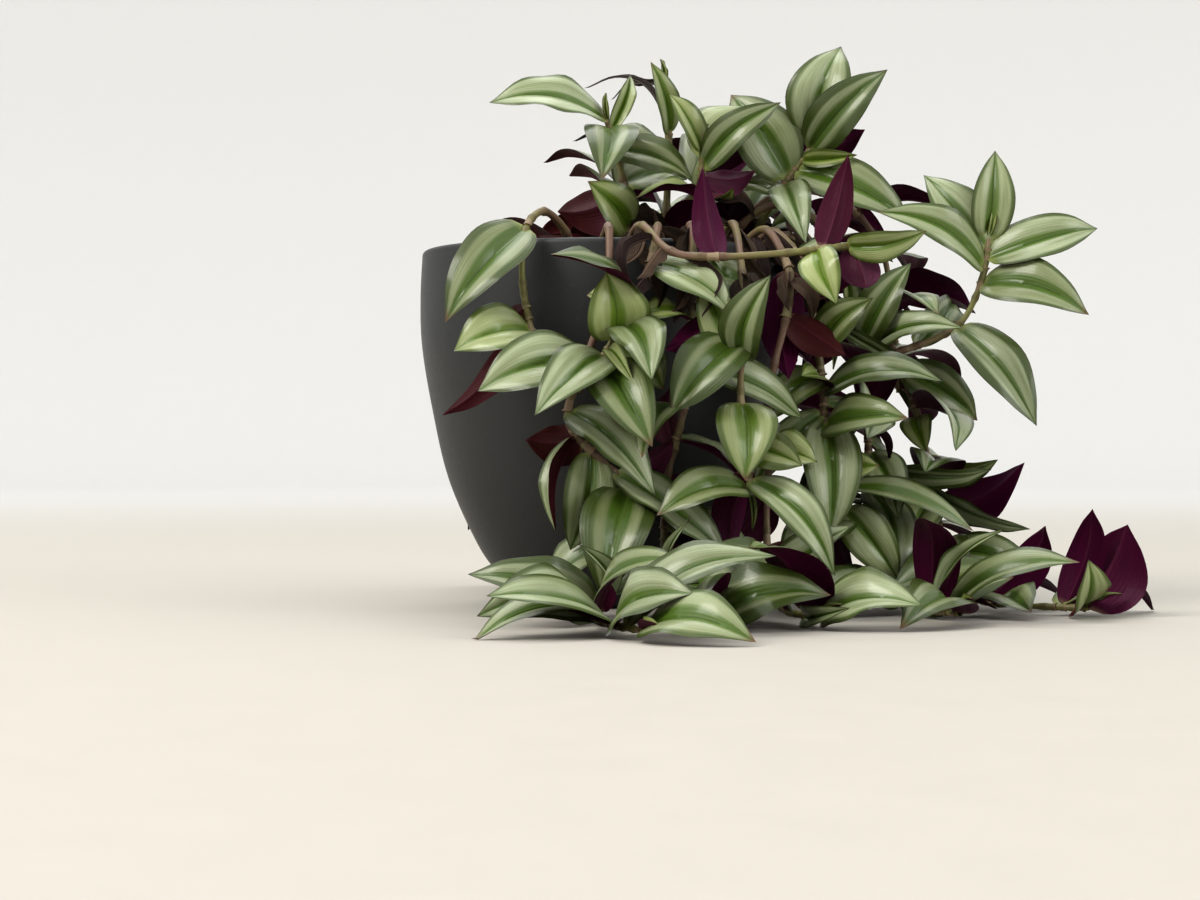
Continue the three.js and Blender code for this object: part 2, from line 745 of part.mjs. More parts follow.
frontStems.forEach((stem) => layLeaves(stem, stem.leaves, () => VIEWER_FACE));
stems.filter((stem) => !frontStems.includes(stem))
  .forEach((stem) => layLeaves(stem, stem.leaves, outwardFace));
frontStems.forEach((stem) => layLeaves(stem, stem.shade, outwardFace));

// One body from a stem and its leaves, with any pocket that they close between them filled
function fused(owner) {
  const bodies = placed.filter((one) => one.owner === owner).map((one) => one.body);
  const parts = wasm.Manifold.union(bodies).decompose();
  return parts.reduce((largest, part) => (part.volume() > largest.volume() ? part : largest));
}

const plant = new THREE.Group();
plant.add(mesh("pot", pot, "pot"));
plant.add(mesh("soil", soil, "soil"));
for (const stem of stems) {
  plant.add(mesh(stem.name, fused(stem.name), "leaf"));
}

export default plant;
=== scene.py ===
# Potted tradescantia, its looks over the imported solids: a plain matt pot, its soil, and striped
# leafy stems that arch over the rim and trail down to the surface. Tables and helpers use
# millimetres in the frame of the solids, and meshes use metres.

import math
import random

import bmesh
import bpy
import numpy as np
from mathutils import Matrix, Quaternion, Vector, noise
from mathutils.kdtree import KDTree


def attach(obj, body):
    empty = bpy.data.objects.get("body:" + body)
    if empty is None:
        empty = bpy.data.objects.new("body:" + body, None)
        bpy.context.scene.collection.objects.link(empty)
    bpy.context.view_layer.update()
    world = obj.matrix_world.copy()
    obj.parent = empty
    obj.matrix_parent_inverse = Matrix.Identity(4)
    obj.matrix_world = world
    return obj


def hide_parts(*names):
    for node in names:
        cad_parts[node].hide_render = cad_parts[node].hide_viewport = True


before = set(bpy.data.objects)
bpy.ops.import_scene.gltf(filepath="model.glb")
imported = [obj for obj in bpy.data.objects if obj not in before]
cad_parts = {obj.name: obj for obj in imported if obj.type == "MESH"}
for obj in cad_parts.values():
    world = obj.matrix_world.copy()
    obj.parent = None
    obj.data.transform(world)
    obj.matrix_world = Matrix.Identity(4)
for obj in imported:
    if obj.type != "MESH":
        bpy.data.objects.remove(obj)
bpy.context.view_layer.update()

MM = 0.001


def at(x, y, z):
    return Vector((x, y, z))


UP = at(0, 0, 1)

# Pot and soil, as in the solids
POT_HEIGHT = 147
RIM_RADIUS = 75
POT_WALL = 4
POT_FLOOR = 6
LIP_ROUND = POT_WALL / 2
POT_OUTLINE = [(34, 0), (43, 12), (52, 25), (64, 52), (71, 82), (75.2, 108), (75.8, 128),
    (RIM_RADIUS, POT_HEIGHT - LIP_ROUND)]
SOIL_TOP = POT_HEIGHT - 19

# Finer form of the pot and the soil, and the bark and perlite strewn on it
POT_SIDES = 160
POT_SPANS = 8
LIP_STEPS = 12
FOOT_ROUND = 1.2
INSIDE_STEPS = 40
SOIL_SIDES = 180
SOIL_RINGS = 70
SOIL_GAP = 0.3
# Waves of the soil's top, from clods to grains, as (height, width)
SOIL_WAVES = [(2.0, 13), (1.1, 4.2), (0.5, 1.6)]
WAVE_APART = 4
CHIPS = 460
CHIP_SEED = 5
CHIP_REACH = 0.97
CHIP_SIZE = (1.0, 3.4)
CHIP_ROWS = 6
CHIP_SIDES = 7
CHIP_ROUGH = (0.75, 1.15)
CHIP_TILT = (-0.5, 0.5)
CHIP_RISE = 0.1
BARK_DEPTH = (0.3, 0.7)
BARK_HEIGHT = (0.2, 0.45)
PERLITE_SHAPE = (1, 0.85, 0.8)
PERLITE_SHARE = 0.14
PERLITE_SCALE = 0.6

# Stems and leaves, as in the solids
ROOT_HEIGHTS = (-20, -6, 6)
FOOT_STEP = 0.22
BLADE_BOW = 0.13
BLADE_FOLD = 13
BLADE_WIDEST = 0.72
SWING_SCALES = (1, 0.86, 0.72)
SWING_ANGLES = (9, 18, 27, 38)
SWING_SIDES = (0, 180, 90, 270, 45, 135, 225, 315)

# The plant was measured from 1 m in front of the pot's axis, with the eye 64 mm above
# the surface. seen() gives the place of a point seen at x and z against the plane through the
# axis that lies `depth` behind it. laid() does so for a point with its own height, or at the
# height of a stem that lies on the surface.
VIEW_DISTANCE = 1000
LYING = 3.5
EYE = at(0, -VIEW_DISTANCE, 64)
VIEWER_FACE = at(0, -0.8, 0.6)


def seen(x, depth, z):
    return EYE + (at(x, 0, z) - EYE) * (1 + depth / VIEW_DISTANCE)


def laid(x, depth, height=LYING):
    return at(x * (1 + depth / VIEW_DISTANCE), depth, height)


# Stems that can be told apart from in front, as (name, root, joints, leaves), and each leaf as
# (joint, tip, roll, width) with a fold where it has its own. A plain point is one as seen(). The
# airy stems bear no other leaves.
FRONT_STEMS = [
    ("stem_crown_left", (12, -8),
     [(11, -10, 160), (9, -12, 178), (5, -13, 192), (2, -13, 203)],
     [(3, (-47, -22, 211), 10, 22), (3, (0, -50, 180), 0, 21), (3, (3, 6, 219), 20, 9, 40),
      (2, (38, -22, 179), 10, 16), (1, (36, 14, 178), 0, 20), (0, (-6, -26, 177), -20, 19),
      (1, (-17, -14, 160), 180, 24), (0, (-28, -26, 153), 170, 15)]),
    ("stem_crown_thin", (27, 14),
     [(27, 14, 165), (28, 15, 185), (28, 16, 202), (27, 17, 218)],
     [(2, (2, 10, 229), 60, 8, 50), (3, (4, 22, 214), 80, 14), (2, (21, 2, 227), 20, 12),
      (1, (-12, 30, 196), 20, 20)]),
    ("stem_crown_middle", (41, -16),
     [(42, -22, 160), (42, -25, 175), (42, -27, 191)],
     [(2, (29, -32, 214), 15, 13), (2, (56, -22, 218), -10, 22), (2, (75, -34, 210), 25, 14),
      (1, (55, -40, 173), 150, 12), (1, (14, -36, 170), 30, 10, 40),
      (2, (64, -18, 180), 180, 14)]),
    ("stem_crown_right", (57, 6),
     [(66, 0, 160), (78, -4, 178), (91, -6, 195)],
     [(2, (100, -6, 234), 0, 26), (2, (121, -8, 222), 20, 19), (2, (108, -14, 190), 30, 9, 35),
      (2, (131, -24, 164), 10, 21), (1, (86, -34, 148), 10, 16), (2, (54, 4, 213), -15, 26),
      (1, (53, 14, 174), 10, 16)]),
    ("stem_level", (10, -46),
     [at(11, -60, 148), at(15, -80, 153), (28, -99, 146), (50, -101, 145), (79, -98, 147),
      (95, -94, 149), (106, -90, 150)],
     [(3, (42, -86, 183), 180, 13, 30), (5, (103, -82, 188), 190, 12),
      (6, (111, -104, 132), 180, 15), (5, (98, -108, 126), 20, 15),
      (6, (136, -100, 156), 60, 12)]),
    ("stem_far_right", (56, -8),
     [at(64, -10, 150), at(78, -13, 155), (92, -22, 140), (97, -24, 118), (114, -26, 103),
      (133, -26, 108), (151, -26, 116), (160, -24, 136), (162, -22, 154)],
     [(4, (150, -52, 117), 0, 15), (4, (129, -34, 143), 0, 17), (4, (103, -22, 144), 10, 9, 40),
      (3, (84, -30, 142), 150, 12), (5, (151, 6, 132), 20, 14), (4, (144, -44, 90), 30, 8, 45),
      (6, (182, -44, 74), 0, 21), (8, (165, -20, 190), 10, 17), (8, (135, -12, 180), 0, 21),
      (8, (207, -30, 163), 0, 21), (8, (116, -36, 165), -10, 17), (7, (204, -44, 122), 10, 21)]),
    ("stem_left", (20, -48),
     [at(21, -62, 149), at(22, -78, 153), (20, -89, 140), (13, -92, 123), (4, -95, 109),
      (-3, -98, 98)],
     [(5, (-52, -112, 90), 0, 26), (5, (21, -122, 60), 0, 23), (4, (2, -104, 139), 10, 24),
      (5, (-29, -126, 74), 0, 21), (5, (5, -118, 86), 30, 8, 40), (4, (27, -98, 91), 10, 18),
      (3, (0, -100, 138), 10, 15)]),
    ("stem_left_rim", (-8, -36),
     [at(-14, -48, 152), at(-23, -62, 160), (-33, -80, 158), (-34, -84, 134), (-29, -88, 112)],
     [(2, (-66, -98, 119), 0, 23), (4, (-62, -100, 107), 0, 23), (4, (-66, -86, 78), 180, 13),
      (4, (-53, -84, 117), 180, 11)]),
    ("stem_left_long", (-1, -50),
     [at(1, -64, 149), at(3, -78, 153), (3, -86, 130), (-6, -90, 104), (-17, -92, 77),
      (-3, -94, 62), (14, -93, 47), (11, -94, 24), laid(4, -97, 9), laid(-4, -122),
      laid(-2, -150), laid(6, -176), laid(18, -198)],
     [(6, (1, -112, -1), 0, 26), (5, (-12, -98, 22), -20, 20), (5, (-29, -104, 72), 160, 16),
      (5, (-19, -104, 30), 60, 12, 45), (6, (31, -90, 66), 180, 14),
      (9, laid(-55, -142, 14), -10, 22), (10, laid(-56, -178, 3), 0, 24),
      (10, laid(24, -186, 16), 10, 20), (11, laid(52, -196, 4), 0, 24),
      (11, laid(-30, -214, 3), 0, 22), (12, laid(52, -232, 4), 0, 22),
      (12, laid(30, -236, 20), 170, 18), (12, laid(14, -222, 22), 20, 9, 40),
      (9, laid(-12, -140, 34), 20, 12, 40)]),
    ("stem_front", (42, -40),
     [at(47, -52, 148), at(52, -64, 156), (59, -90, 138), (59, -96, 118), (58, -98, 101),
      (58, -98, 82), (61, -100, 64), (62, -100, 46)],
     [(4, (71, -120, 138), 10, 17), (4, (44, -92, 137), -35, 16), (3, (22, -112, 136), -20, 13),
      (3, (27, -110, 108), 170, 14), (4, (33, -118, 80), 0, 23), (5, (60, -116, 52), 0, 22),
      (7, (23, -116, 38), 10, 20), (7, (98, -120, 13), 0, 16), (7, (70, -112, 20), 150, 16),
      (6, (84, -104, 58), 20, 15)]),
    ("stem_front_long", (32, -46),
     [at(33, -60, 149), at(35, -74, 154), (38, -87, 138), (38, -88, 116), (37, -88, 98),
      (34, -89, 80), (30, -88, 64), (26, -88, 48), (26, -90, 24), laid(26, -98, 9),
      laid(34, -120), laid(46, -144)],
     [(6, (18, -98, 84), 180, 15), (7, (45, -92, 50), 180, 18), (8, (48, -98, 22), 180, 20),
      (9, laid(64, -142, 8), 0, 30), (10, laid(76, -124, 22), 10, 20),
      (11, laid(94, -160, 4), 0, 24), (11, laid(56, -190, 3), 0, 24),
      (11, laid(66, -164, 28), 20, 10, 40), (3, (14, -96, 120), 20, 14)]),
    ("stem_purple", (50, -31),
     [at(58, -42, 149), at(66, -52, 154), (80, -66, 138), (77, -70, 118), (72, -72, 100),
      (69, -74, 84), (70, -74, 64), (69, -75, 44), (69, -80, 22), laid(71, -92, 7),
      laid(78, -114), laid(94, -136)],
     [(2, (73, -80, 96), 180, 16), (4, (79, -84, 82), 170, 20), (3, (92, -78, 96), 180, 14),
      (6, (90, -82, 60), 10, 16), (7, (52, -82, 24), 170, 18), (8, laid(98, -108, 20), 180, 16),
      (10, laid(40, -142, 22), 10, 24), (11, laid(134, -160, 4), 0, 24),
      (11, laid(84, -184, 4), 0, 24), (11, laid(102, -158, 28), 10, 10, 40),
      (9, laid(112, -112, 26), 10, 20)]),
    ("stem_front_right", (54, -21),
     [at(62, -27, 149), at(70, -32, 155), (84, -46, 144), (88, -52, 124), (91, -56, 104),
      (93, -60, 86), (93, -62, 73), (97, -60, 52), (104, -60, 34)],
     [(5, (142, -84, 95), -10, 19), (6, (127, -92, 79), 10, 19), (5, (84, -76, 96), 0, 14),
      (6, (96, -88, 31), 0, 22), (6, (66, -66, 46), 10, 14), (8, (76, -86, 14), 10, 21),
      (4, (110, -76, 128), 20, 16), (7, (116, -70, 58), 20, 14), (8, (124, -76, 12), 20, 18),
      (8, (112, -66, 8), 150, 14)]),
    ("stem_right_long", (58, 14),
     [at(68, 14, 150), at(80, 12, 154), (100, 4, 140), (116, -4, 118), (127, -8, 96),
      (133, -12, 76), (137, -14, 56), (140, -18, 38), (144, -28, 20), laid(150, -46, 6),
      laid(166, -62), laid(186, -74), laid(204, -82)],
     [(5, (136, -34, 63), 20, 13), (6, (166, -26, 60), 90, 14), (7, (173, -40, 62), 180, 20),
      (7, (127, -36, 22), 0, 17), (7, (176, -30, 20), 80, 11), (8, (184, -52, 12), 0, 18),
      (8, (153, -56, 10), 10, 17), (8, (122, -54, 18), 0, 20), (10, laid(180, -106, 3), 0, 22),
      (10, laid(176, -90, 34), 180, 18), (11, laid(190, -112, 26), 180, 26),
      (12, laid(232, -96, 26), 180, 30), (12, laid(226, -122, 5), 180, 24),
      (12, laid(216, -84, 40), 190, 14), (9, laid(122, -84, 12), 0, 22),
      (9, laid(196, -92, 30), 0, 18), (4, (150, 0, 70), 20, 18)]),
    ("stem_right_inner", (44, -2),
     [at(58, -8, 160), at(74, -10, 168), at(90, -12, 160), (104, -16, 128), (108, -22, 104),
      (111, -30, 78), (112, -32, 56), (113, -36, 36), (117, -44, 16), laid(122, -64, 4),
      laid(134, -90), laid(150, -114)],
     [(6, (163, -44, 54), 85, 14), (6, (123, -48, 29), 0, 17), (2, (58, 12, 164), 0, 16),
      (5, (94, -44, 56), 20, 14), (7, (124, -50, 74), 20, 18), (7, (78, -48, 34), 20, 16),
      (9, laid(104, -98, 24), 10, 24), (10, laid(172, -98, 16), 0, 22),
      (11, laid(126, -160, 4), 10, 22), (11, laid(188, -150, 4), 0, 22),
      (11, laid(162, -140, 32), 10, 10, 40)]),
]
AIRY = ("stem_level", "stem_far_right", "stem_left_rim", "stem_front", "stem_purple")

# Stems that fill the back and the middle, grown by rule as in the solids: name, heading, distance
# of the root from the axis, joints, first slope, fall at each joint, and lift of the leaves
REAR_STEMS = [
    ("stem_rear_1", 17, 54, 9, 64, 32, 0.1),
    ("stem_rear_2", 33, 48, 8, 66, 29, 0.1),
    ("stem_rear_3", 47, 54, 10, 62, 33, 0.1),
    ("stem_rear_4", 61, 47, 8, 66, 30, 0.1),
    ("stem_rear_5", 75, 54, 10, 52, 34, 0),
    ("stem_rear_6", 90, 50, 7, 40, 31, -0.2),
    ("stem_rear_7", 106, 54, 9, 34, 32, -0.3),
    ("stem_top_1", 74, 26, 3, 78, 18, 0.1),
    ("stem_top_2", 20, 30, 3, 74, 20, 0.1),
]
REAR_START = 18
REAR_STEP = 20
REAR_SWAY = 4
REAR_FALL = (0.8, 1.2)
STEEPEST_FALL = -86
LEAF_LENGTH = (38, 50)
LEAF_WIDTH = (18, 23)
YOUNG_SCALE = 0.62
LEAF_ROLL = (-25, 25)
LEAF_SIDEWAYS = (0.7, 1)
LEAF_FORWARD = (0.3, 0.6)
REAR_REACH = (0.25, 0.55)
FIRST_TURN = -1
SHADE_REACH = (0.05, 0.3)
SHADE_LIFT = 0.1
SHADE_LEFT = -36
LIFT_SPREAD = 0.2
FACE_OUTWARD = 0.6
FACE_UP = 0.8

# Finer form of the leaves, stems and sheaths. In a leaf's own measure, 0 is its base and 1 its
# tip, and across it -1 and 1 are its margins.
LEAF_ROWS = 20
LEAF_CROWDED = 0.35
LEAF_ACROSS = (-1, -0.92, -0.76, -0.55, -0.32, -0.12, 0, 0.12, 0.32, 0.55, 0.76, 0.92, 1)
LEAF_SPREAD = 1.1
LEAF_THICK = 0.42
LEAF_THINNER = 0.5
LEAF_LOWEST = 0.6
OUTLINE_POWER = (0.6, 0.14, 0.2)
OUTLINE_TIP = 0.8
RIB_THICK = 0.55
RIB_WIDTH = 0.07
GROOVE_DEPTH = 0.35
GROOVE_WIDTH = 0.1
CUP = 0.1
TWIST = (-24, 24)
TWIST_MIDDLE = 0.4
WAVE_HEIGHT = (0.2, 1.2)
WAVE_COUNT = (1.2, 2.6)
WAVE_SHIFT = 0.3
BOW_SPREAD = (0.7, 1.35)
SWAY = (-0.06, 0.06)
TIP_CURL = 0.075
CURL_SPREAD = (-0.2, 1)
CURL_FROM = 0.7
YOUNG_LENGTH = (20, 44)
STEM_SIDES = 12
SPAN_STEPS = 10
BEND = 0.45
LINE_STEP = 0.04
RING_START = at(0.3, 0.9, 0.2)
FRESH_JOINTS = 4
STEM_TAPER = (1.6, 1.05)
NODE_SWELL = 0.45
NODE_REACH = 1.8
SHEATH_LENGTH = 5.5
SHEATH_WALL = 0.18
SHEATH_PLACES = np.array((-1, -0.55, -0.15, 0.12))
SHEATH_RADII = np.array((1.02, 1.16, 1.22, 1.45))
SHEATH_LOOSE = (0.95, 1.05)
SHEATH_BACK = -0.5
SHEATH_UP = 0.2
SHEATH_RISE = (0.6, 1.6)
SPEAR_LENGTH = (11, 16)
SPEAR_WIDTH = 5
SPEAR_FOLD = 62
SPEAR_ASIDE = ((-0.3, 0.3), (-0.3, 0.3), (0.1, 0.5))
TIP_MATCH = 0.05

# Leaves that have dried and curled on their stem, by their place in its list
DRIED = {"stem_crown_thin": (0, 1)}
DRIED_WIDTH = 0.5
DRIED_BOW = 2
DRIED_CURL = 5
DRIED_TAPER = 0.8

# Shrivelled old leaves low on the stems, to the right of this X: those inside the pot lean in
# over its middle, and those outside hang down
DRY_PLACES = (2.1, 2.5, 2.9, 3.3, 3.7, 4.1, 4.5, 4.9, 5.2)
DRY_SHIFT = (-0.15, 0.15)
DRY_FROM_X = 4
DRY_CLEAR = 10
DRY_TOP = 168
DRY_MIDDLE = at(38, 0, 150)
DRY_LEAN = 0.5
DRY_INSIDE = ((-1, 1), (-1, 1), (-0.4, 0.5))
DRY_HANG = at(0, 0, -1.1)
DRY_LENGTH = (16, 30)
DRY_WIDTH = (7, 12)
DRY_FOLD = (20, 75)
DRY_BOW = (-3, 3.5)
ANY_WAY = (-1, 1)

# Materials of a stem and of the soil, in the order of their slots
TOP, UNDER, STEM, SHEATH, DRY = range(5)
EARTH, BARK, PERLITE = range(3)

# Points closer than this in metres are one, steeper edges are sharp, and TINY stands in for a
# length of 0
WELD = 1e-6
SHARP_ANGLE = math.radians(70)
TINY = 1e-9

# The map for the bake: tubes take the band below STEM_BAND and blades the rest, the soil takes
# the band below SOIL_BAND and its chips the rest. An aspect is a cell's width over its height,
# and CELL_EDGE of each cell stays free on every side.
STEM_BAND = 0.22
SOIL_BAND = 0.8
TUBE_ASPECT = 2
BLADE_ASPECT = 0.5
CELL_EDGE = 0.04

# Stage in millimetres, with the reach in metres over which the floor is painted from darker near
# the plant
# to the paler colour of the wall: partly the colours floor and wall have, partly painted light for
# the lamps' falloff
STAGE_RADIUS = 3000
STAGE_BEND = 1200
STAGE_HEIGHT = 1900
STAGE_SIDES = 96
STAGE_STEPS = 16
STAGE_LIGHT_FADE = (0.5, 3)

# Lights as (name, place in metres, size, watts, colour), and the camera, in metres too
LIGHTS = [
    ("key", (-1.5, -1.2, 1.7), 1.1, 36, (1, 0.97, 0.91)),
    ("fill", (2, -1.3, 1), 1.2, 17, (0.98, 0.99, 1)),
    ("top", (-0.2, 0.7, 2.1), 1.4, 14, (1, 1, 1)),
]
AIM = at(0.05, 0, 0.11)
SKY = (0.98, 0.985, 0.97, 1)
SKY_STRENGTH = 0.97
CAMERA_PLACE = (-0.0008, -1, 0.0643)
CAMERA_RANGE = (0.01, 30)
LENS = 71.6

# Repeatable draws, the same ones as in the solids
DRAW_FACTOR = 1664525
DRAW_STEP = 1013904223
DRAW_RANGE = 2 ** 32
draw = 7


def drawn():
    global draw
    draw = (draw * DRAW_FACTOR + DRAW_STEP) % DRAW_RANGE
    return draw / DRAW_RANGE


def between(low, high):
    return low + (high - low) * drawn()


def grown_leaf(joints, joint, turn, along, reach, lift):
    """A leaf that grows at a joint to the left (-1), to the right (1) or straight on (0)."""
    out = at(joints[joint].x, joints[joint].y, 0).normalized()
    young = YOUNG_SCALE if turn == 0 else 1
    direction = UP.cross(out) * turn * between(*LEAF_SIDEWAYS)
    direction += along * between(*LEAF_FORWARD)
    direction += out * between(*reach)
    direction += UP * (lift + between(-LIFT_SPREAD, LIFT_SPREAD))
    tip = joints[joint] + direction.normalized() * young * between(*LEAF_LENGTH)
    return joint, tip, between(*LEAF_ROLL), young * between(*LEAF_WIDTH)


def side_of(joint):
    return 1 if joint % 2 == 0 else -1


def shade_leaves(joints):
    """Leaves in the shade of those in front, up to one at each joint that hangs before the pot."""
    leaves = []
    for joint in range(1, len(joints)):
        if joints[joint].z < POT_HEIGHT:
            along = (joints[joint] - joints[joint - 1]).normalized()
            leaves.append(
                grown_leaf(joints, joint, side_of(joint), along, SHADE_REACH, SHADE_LIFT))
    return [leaf for leaf in leaves if leaf[1].x > SHADE_LEFT]


def placed(point):
    """A point of the table, which is a place already or plain numbers as seen."""
    return point if isinstance(point, Vector) else seen(*point)


def facing_out(leaves):
    """The leaves, each with its upper face turned away from the axis and up."""
    return [
        (leaf, at(leaf[1].x, leaf[1].y, 0).normalized() * FACE_OUTWARD + UP * FACE_UP)
        for leaf in leaves
    ]


def front_stem(name, root, joints, leaves):
    joints = [placed(joint) for joint in joints]
    leaves = [((joint, placed(tip), *rest), VIEWER_FACE) for joint, tip, *rest in leaves]
    if name not in AIRY:
        leaves += facing_out(shade_leaves(joints))
    return dict(name=name, root=root, joints=joints, leaves=leaves)


def rear_stem(name, heading, root_distance, count, slope, fall, lift):
    out = at(math.cos(math.radians(heading)), math.sin(math.radians(heading)), 0)
    side = UP.cross(out)
    root = (out.x * root_distance, out.y * root_distance)
    joints = [at(*root, SOIL_TOP + REAR_START)]
    leaves = [grown_leaf(joints, 0, FIRST_TURN, UP, REAR_REACH, lift)]
    while len(joints) < count:
        pitch = math.radians(slope)
        along = out * math.cos(pitch) + UP * math.sin(pitch)
        joints.append(joints[-1] + along * REAR_STEP + side * between(-REAR_SWAY, REAR_SWAY))
        turns = (-1, 1, 0) if len(joints) == count else (side_of(len(joints)),)
        for turn in turns:
            leaves.append(grown_leaf(joints, len(joints) - 1, turn, along, REAR_REACH, lift))
        slope = max(STEEPEST_FALL, slope - fall * between(*REAR_FALL))
    return dict(name=name, root=root, joints=joints, leaves=facing_out(leaves))


def route(stem):
    """Middle line of a stem: straight up out of the soil, then from joint to joint."""
    return [at(*stem["root"], SOIL_TOP + height) for height in ROOT_HEIGHTS] + stem["joints"]


def bent(points, place):
    """The point at a place along a line, counted in points, with the line's corners rounded."""
    corner = round(place)
    if 0 < corner < len(points) - 1 and abs(place - corner) < BEND:
        step = (place - corner + BEND) / (2 * BEND)
        start = points[corner].lerp(points[corner - 1], BEND)
        end = points[corner].lerp(points[corner + 1], BEND)
        return start.lerp(points[corner], step).lerp(points[corner].lerp(end, step), step)
    before = min(int(place), len(points) - 2)
    return points[before].lerp(points[before + 1], place - before)


def leaf_frame(base, tip, face, roll, scale, angle, toward):
    """A leaf's length, upper face and side after it swings from its drawn place."""
    line = tip - base
    length = line.length * scale
    line.normalize()
    face = (face - line * face.dot(line)).normalized()
    face.rotate(Quaternion(line, math.radians(roll)))
    side = line.cross(face)
    toward = math.radians(toward)
    axis = line.cross(face * math.cos(toward) + side * math.sin(toward)).normalized()
    swing = Quaternion(axis, math.radians(angle))
    return swing @ line * length, swing @ face, swing @ side


def swings():
    for scale in SWING_SCALES:
        yield scale, 0, 0
        for angle in SWING_ANGLES:
            for toward in SWING_SIDES:
                yield scale, angle, toward


def settled_leaves(stem):
    """The stem's leaves as they lie in the solids, where each swings clear of its neighbours
    and one that finds no room is left out. The tip of each that is there is a solid's corner."""
    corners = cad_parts[stem["name"]].data.vertices
    tips = KDTree(len(corners))
    for number, corner in enumerate(corners):
        tips.insert(corner.co / MM, number)
    tips.balance()
    points, ranks, leaves = route(stem), {}, []
    for number, ((joint, tip, roll, width, *rest), face) in enumerate(stem["leaves"]):
        rank = ranks[joint] = ranks.get(joint, -1) + 1
        place = len(ROOT_HEIGHTS) + joint - (rank + 0.5) * FOOT_STEP
        before = int(place)
        base = points[before].lerp(points[before + 1], place - before)
        for scale, angle, toward in swings():
            along, upper, side = leaf_frame(base, tip, face, roll, scale, angle, toward)
            if tips.find(base + along)[2] < TIP_MATCH:
                foot = bent(points, place)
                leaf = dict(
                    base=foot, along=base + along - foot, face=upper, side=side, place=place,
                    width=width * scale, fold=rest[0] if rest else BLADE_FOLD)
                if number in DRIED.get(stem["name"], ()):
                    leaf.update(
                        width=width * DRIED_WIDTH, bow=DRIED_BOW, curl=DRIED_CURL,
                        taper=DRIED_TAPER, slots=(DRY, DRY))
                leaves.append(leaf)
                break
    return leaves


class Body:
    """One piece in the making: its points, its faces, and what its shader reads at each."""

    def __init__(self):
        self.count = 0
        self.points, self.tints, self.faces = [], [], []
        self.slots, self.patterns, self.bakes = [], [], []

    def grid(self, points, slot, pattern, bake, tint=(0, 0, 0), around=False, turned=False):
        """Faces over rows and columns of points. A grid that closes around has one more column
        in pattern and bake, the two maps. turned flips the faces to the other side."""
        rows, columns = points.shape[:2]
        index = self.count + np.arange(rows * columns).reshape(rows, columns, 1)
        if around:
            index = np.concatenate([index, index[:, :1]], axis=1)
        self.count += rows * columns

        def corners(values):
            quads = np.stack([
                values[:-1, :-1], values[:-1, 1:], values[1:, 1:], values[1:, :-1]], axis=2)
            quads = quads.reshape(-1, 4, values.shape[2])
            return quads[:, ::-1] if turned else quads

        self.points.append(points.reshape(-1, 3))
        self.tints.append(np.broadcast_to(tint, points.shape).reshape(-1, 3))
        self.faces.append(corners(index)[:, :, 0])
        self.slots.append(np.full((rows - 1) * (index.shape[1] - 1), slot))
        self.patterns.append(corners(pattern))
        self.bakes.append(corners(bake))

    def build(self, name, materials):
        mesh = bpy.data.meshes.new(name)
        faces = np.concatenate(self.faces)
        mesh.from_pydata((np.concatenate(self.points) * MM).tolist(), [], faces.tolist())
        mesh.polygons.foreach_set("material_index", np.concatenate(self.slots))
        for map_name, values in (("OFBake", self.bakes), ("pattern", self.patterns)):
            layer = mesh.uv_layers.new(name=map_name)
            layer.uv.foreach_set("vector", np.concatenate(values).astype(np.float32).ravel())
        tints = np.concatenate(self.tints)
        colours = np.concatenate([tints, np.ones((len(tints), 1))], axis=1)
        layer = mesh.color_attributes.new("tint", "FLOAT_COLOR", "POINT")
        layer.data.foreach_set("color", colours.astype(np.float32).ravel())
        for material in materials:
            mesh.materials.append(material)
        welded(mesh)
        return linked(name, mesh)


def linked(name, data):
    thing = bpy.data.objects.new(name, data)
    bpy.context.scene.collection.objects.link(thing)
    return thing


def welded(mesh):
    """Joins points that meet, and keeps an edge sharp where two materials or steep faces meet."""
    shape = bmesh.new()
    shape.from_mesh(mesh)
    bmesh.ops.remove_doubles(shape, verts=shape.verts, dist=WELD)
    for face in shape.faces:
        face.smooth = True
    for edge in shape.edges:
        if len(edge.link_faces) == 2:
            one, other = edge.link_faces
            steep = edge.calc_face_angle(0) > SHARP_ANGLE
            edge.smooth = not steep and one.material_index == other.material_index
    shape.to_mesh(mesh)
    shape.free()


def sheet(*values):
    """Rows and columns of the values side by side, each spread over the whole sheet."""
    return np.stack(np.broadcast_arrays(*values), axis=2)


def ring(sides):
    """The angles of a ring's points."""
    return np.linspace(0, 2 * np.pi, sides, endpoint=False)


def even_row(sides):
    """0 to 1 along a row, as the map around a ring."""
    return np.linspace(0, 1, sides + 1)[None, :]


def even_column(rows):
    """0 to 1 down a column."""
    return np.linspace(0, 1, rows)[:, None]


class Cells:
    """Equal cells, one for each sheet of a piece, in a band of the map that its bake uses."""

    def __init__(self, count, low, high, aspect):
        self.low, self.high = low, high
        self.columns = max(1, round(math.sqrt(count / (aspect * (high - low)))))
        self.rows = math.ceil(count / self.columns)

    def place(self, cell, x, y):
        """Map places in a cell, from x and y of 0 to 1 across it."""
        row, column = divmod(cell, self.columns)
        x = (column + CELL_EDGE + (1 - 2 * CELL_EDGE) * x) / self.columns
        y = (row + CELL_EDGE + (1 - 2 * CELL_EDGE) * y) / self.rows
        return sheet(x, self.low + (self.high - self.low) * y)


def smooth(value, low, high):
    step = np.clip((value - low) / (high - low), 0, 1)
    return step * step * (3 - 2 * step)


def half_width(u):
    """Half of a blade's width at u, from its base to its tip, as a share of its widest."""
    u = np.clip(u, 0, 1)
    base, along, tip = OUTLINE_POWER
    power = base + along * u + tip * smooth(u, OUTLINE_TIP, 1)
    return np.sin(np.pi * u ** BLADE_WIDEST) ** power


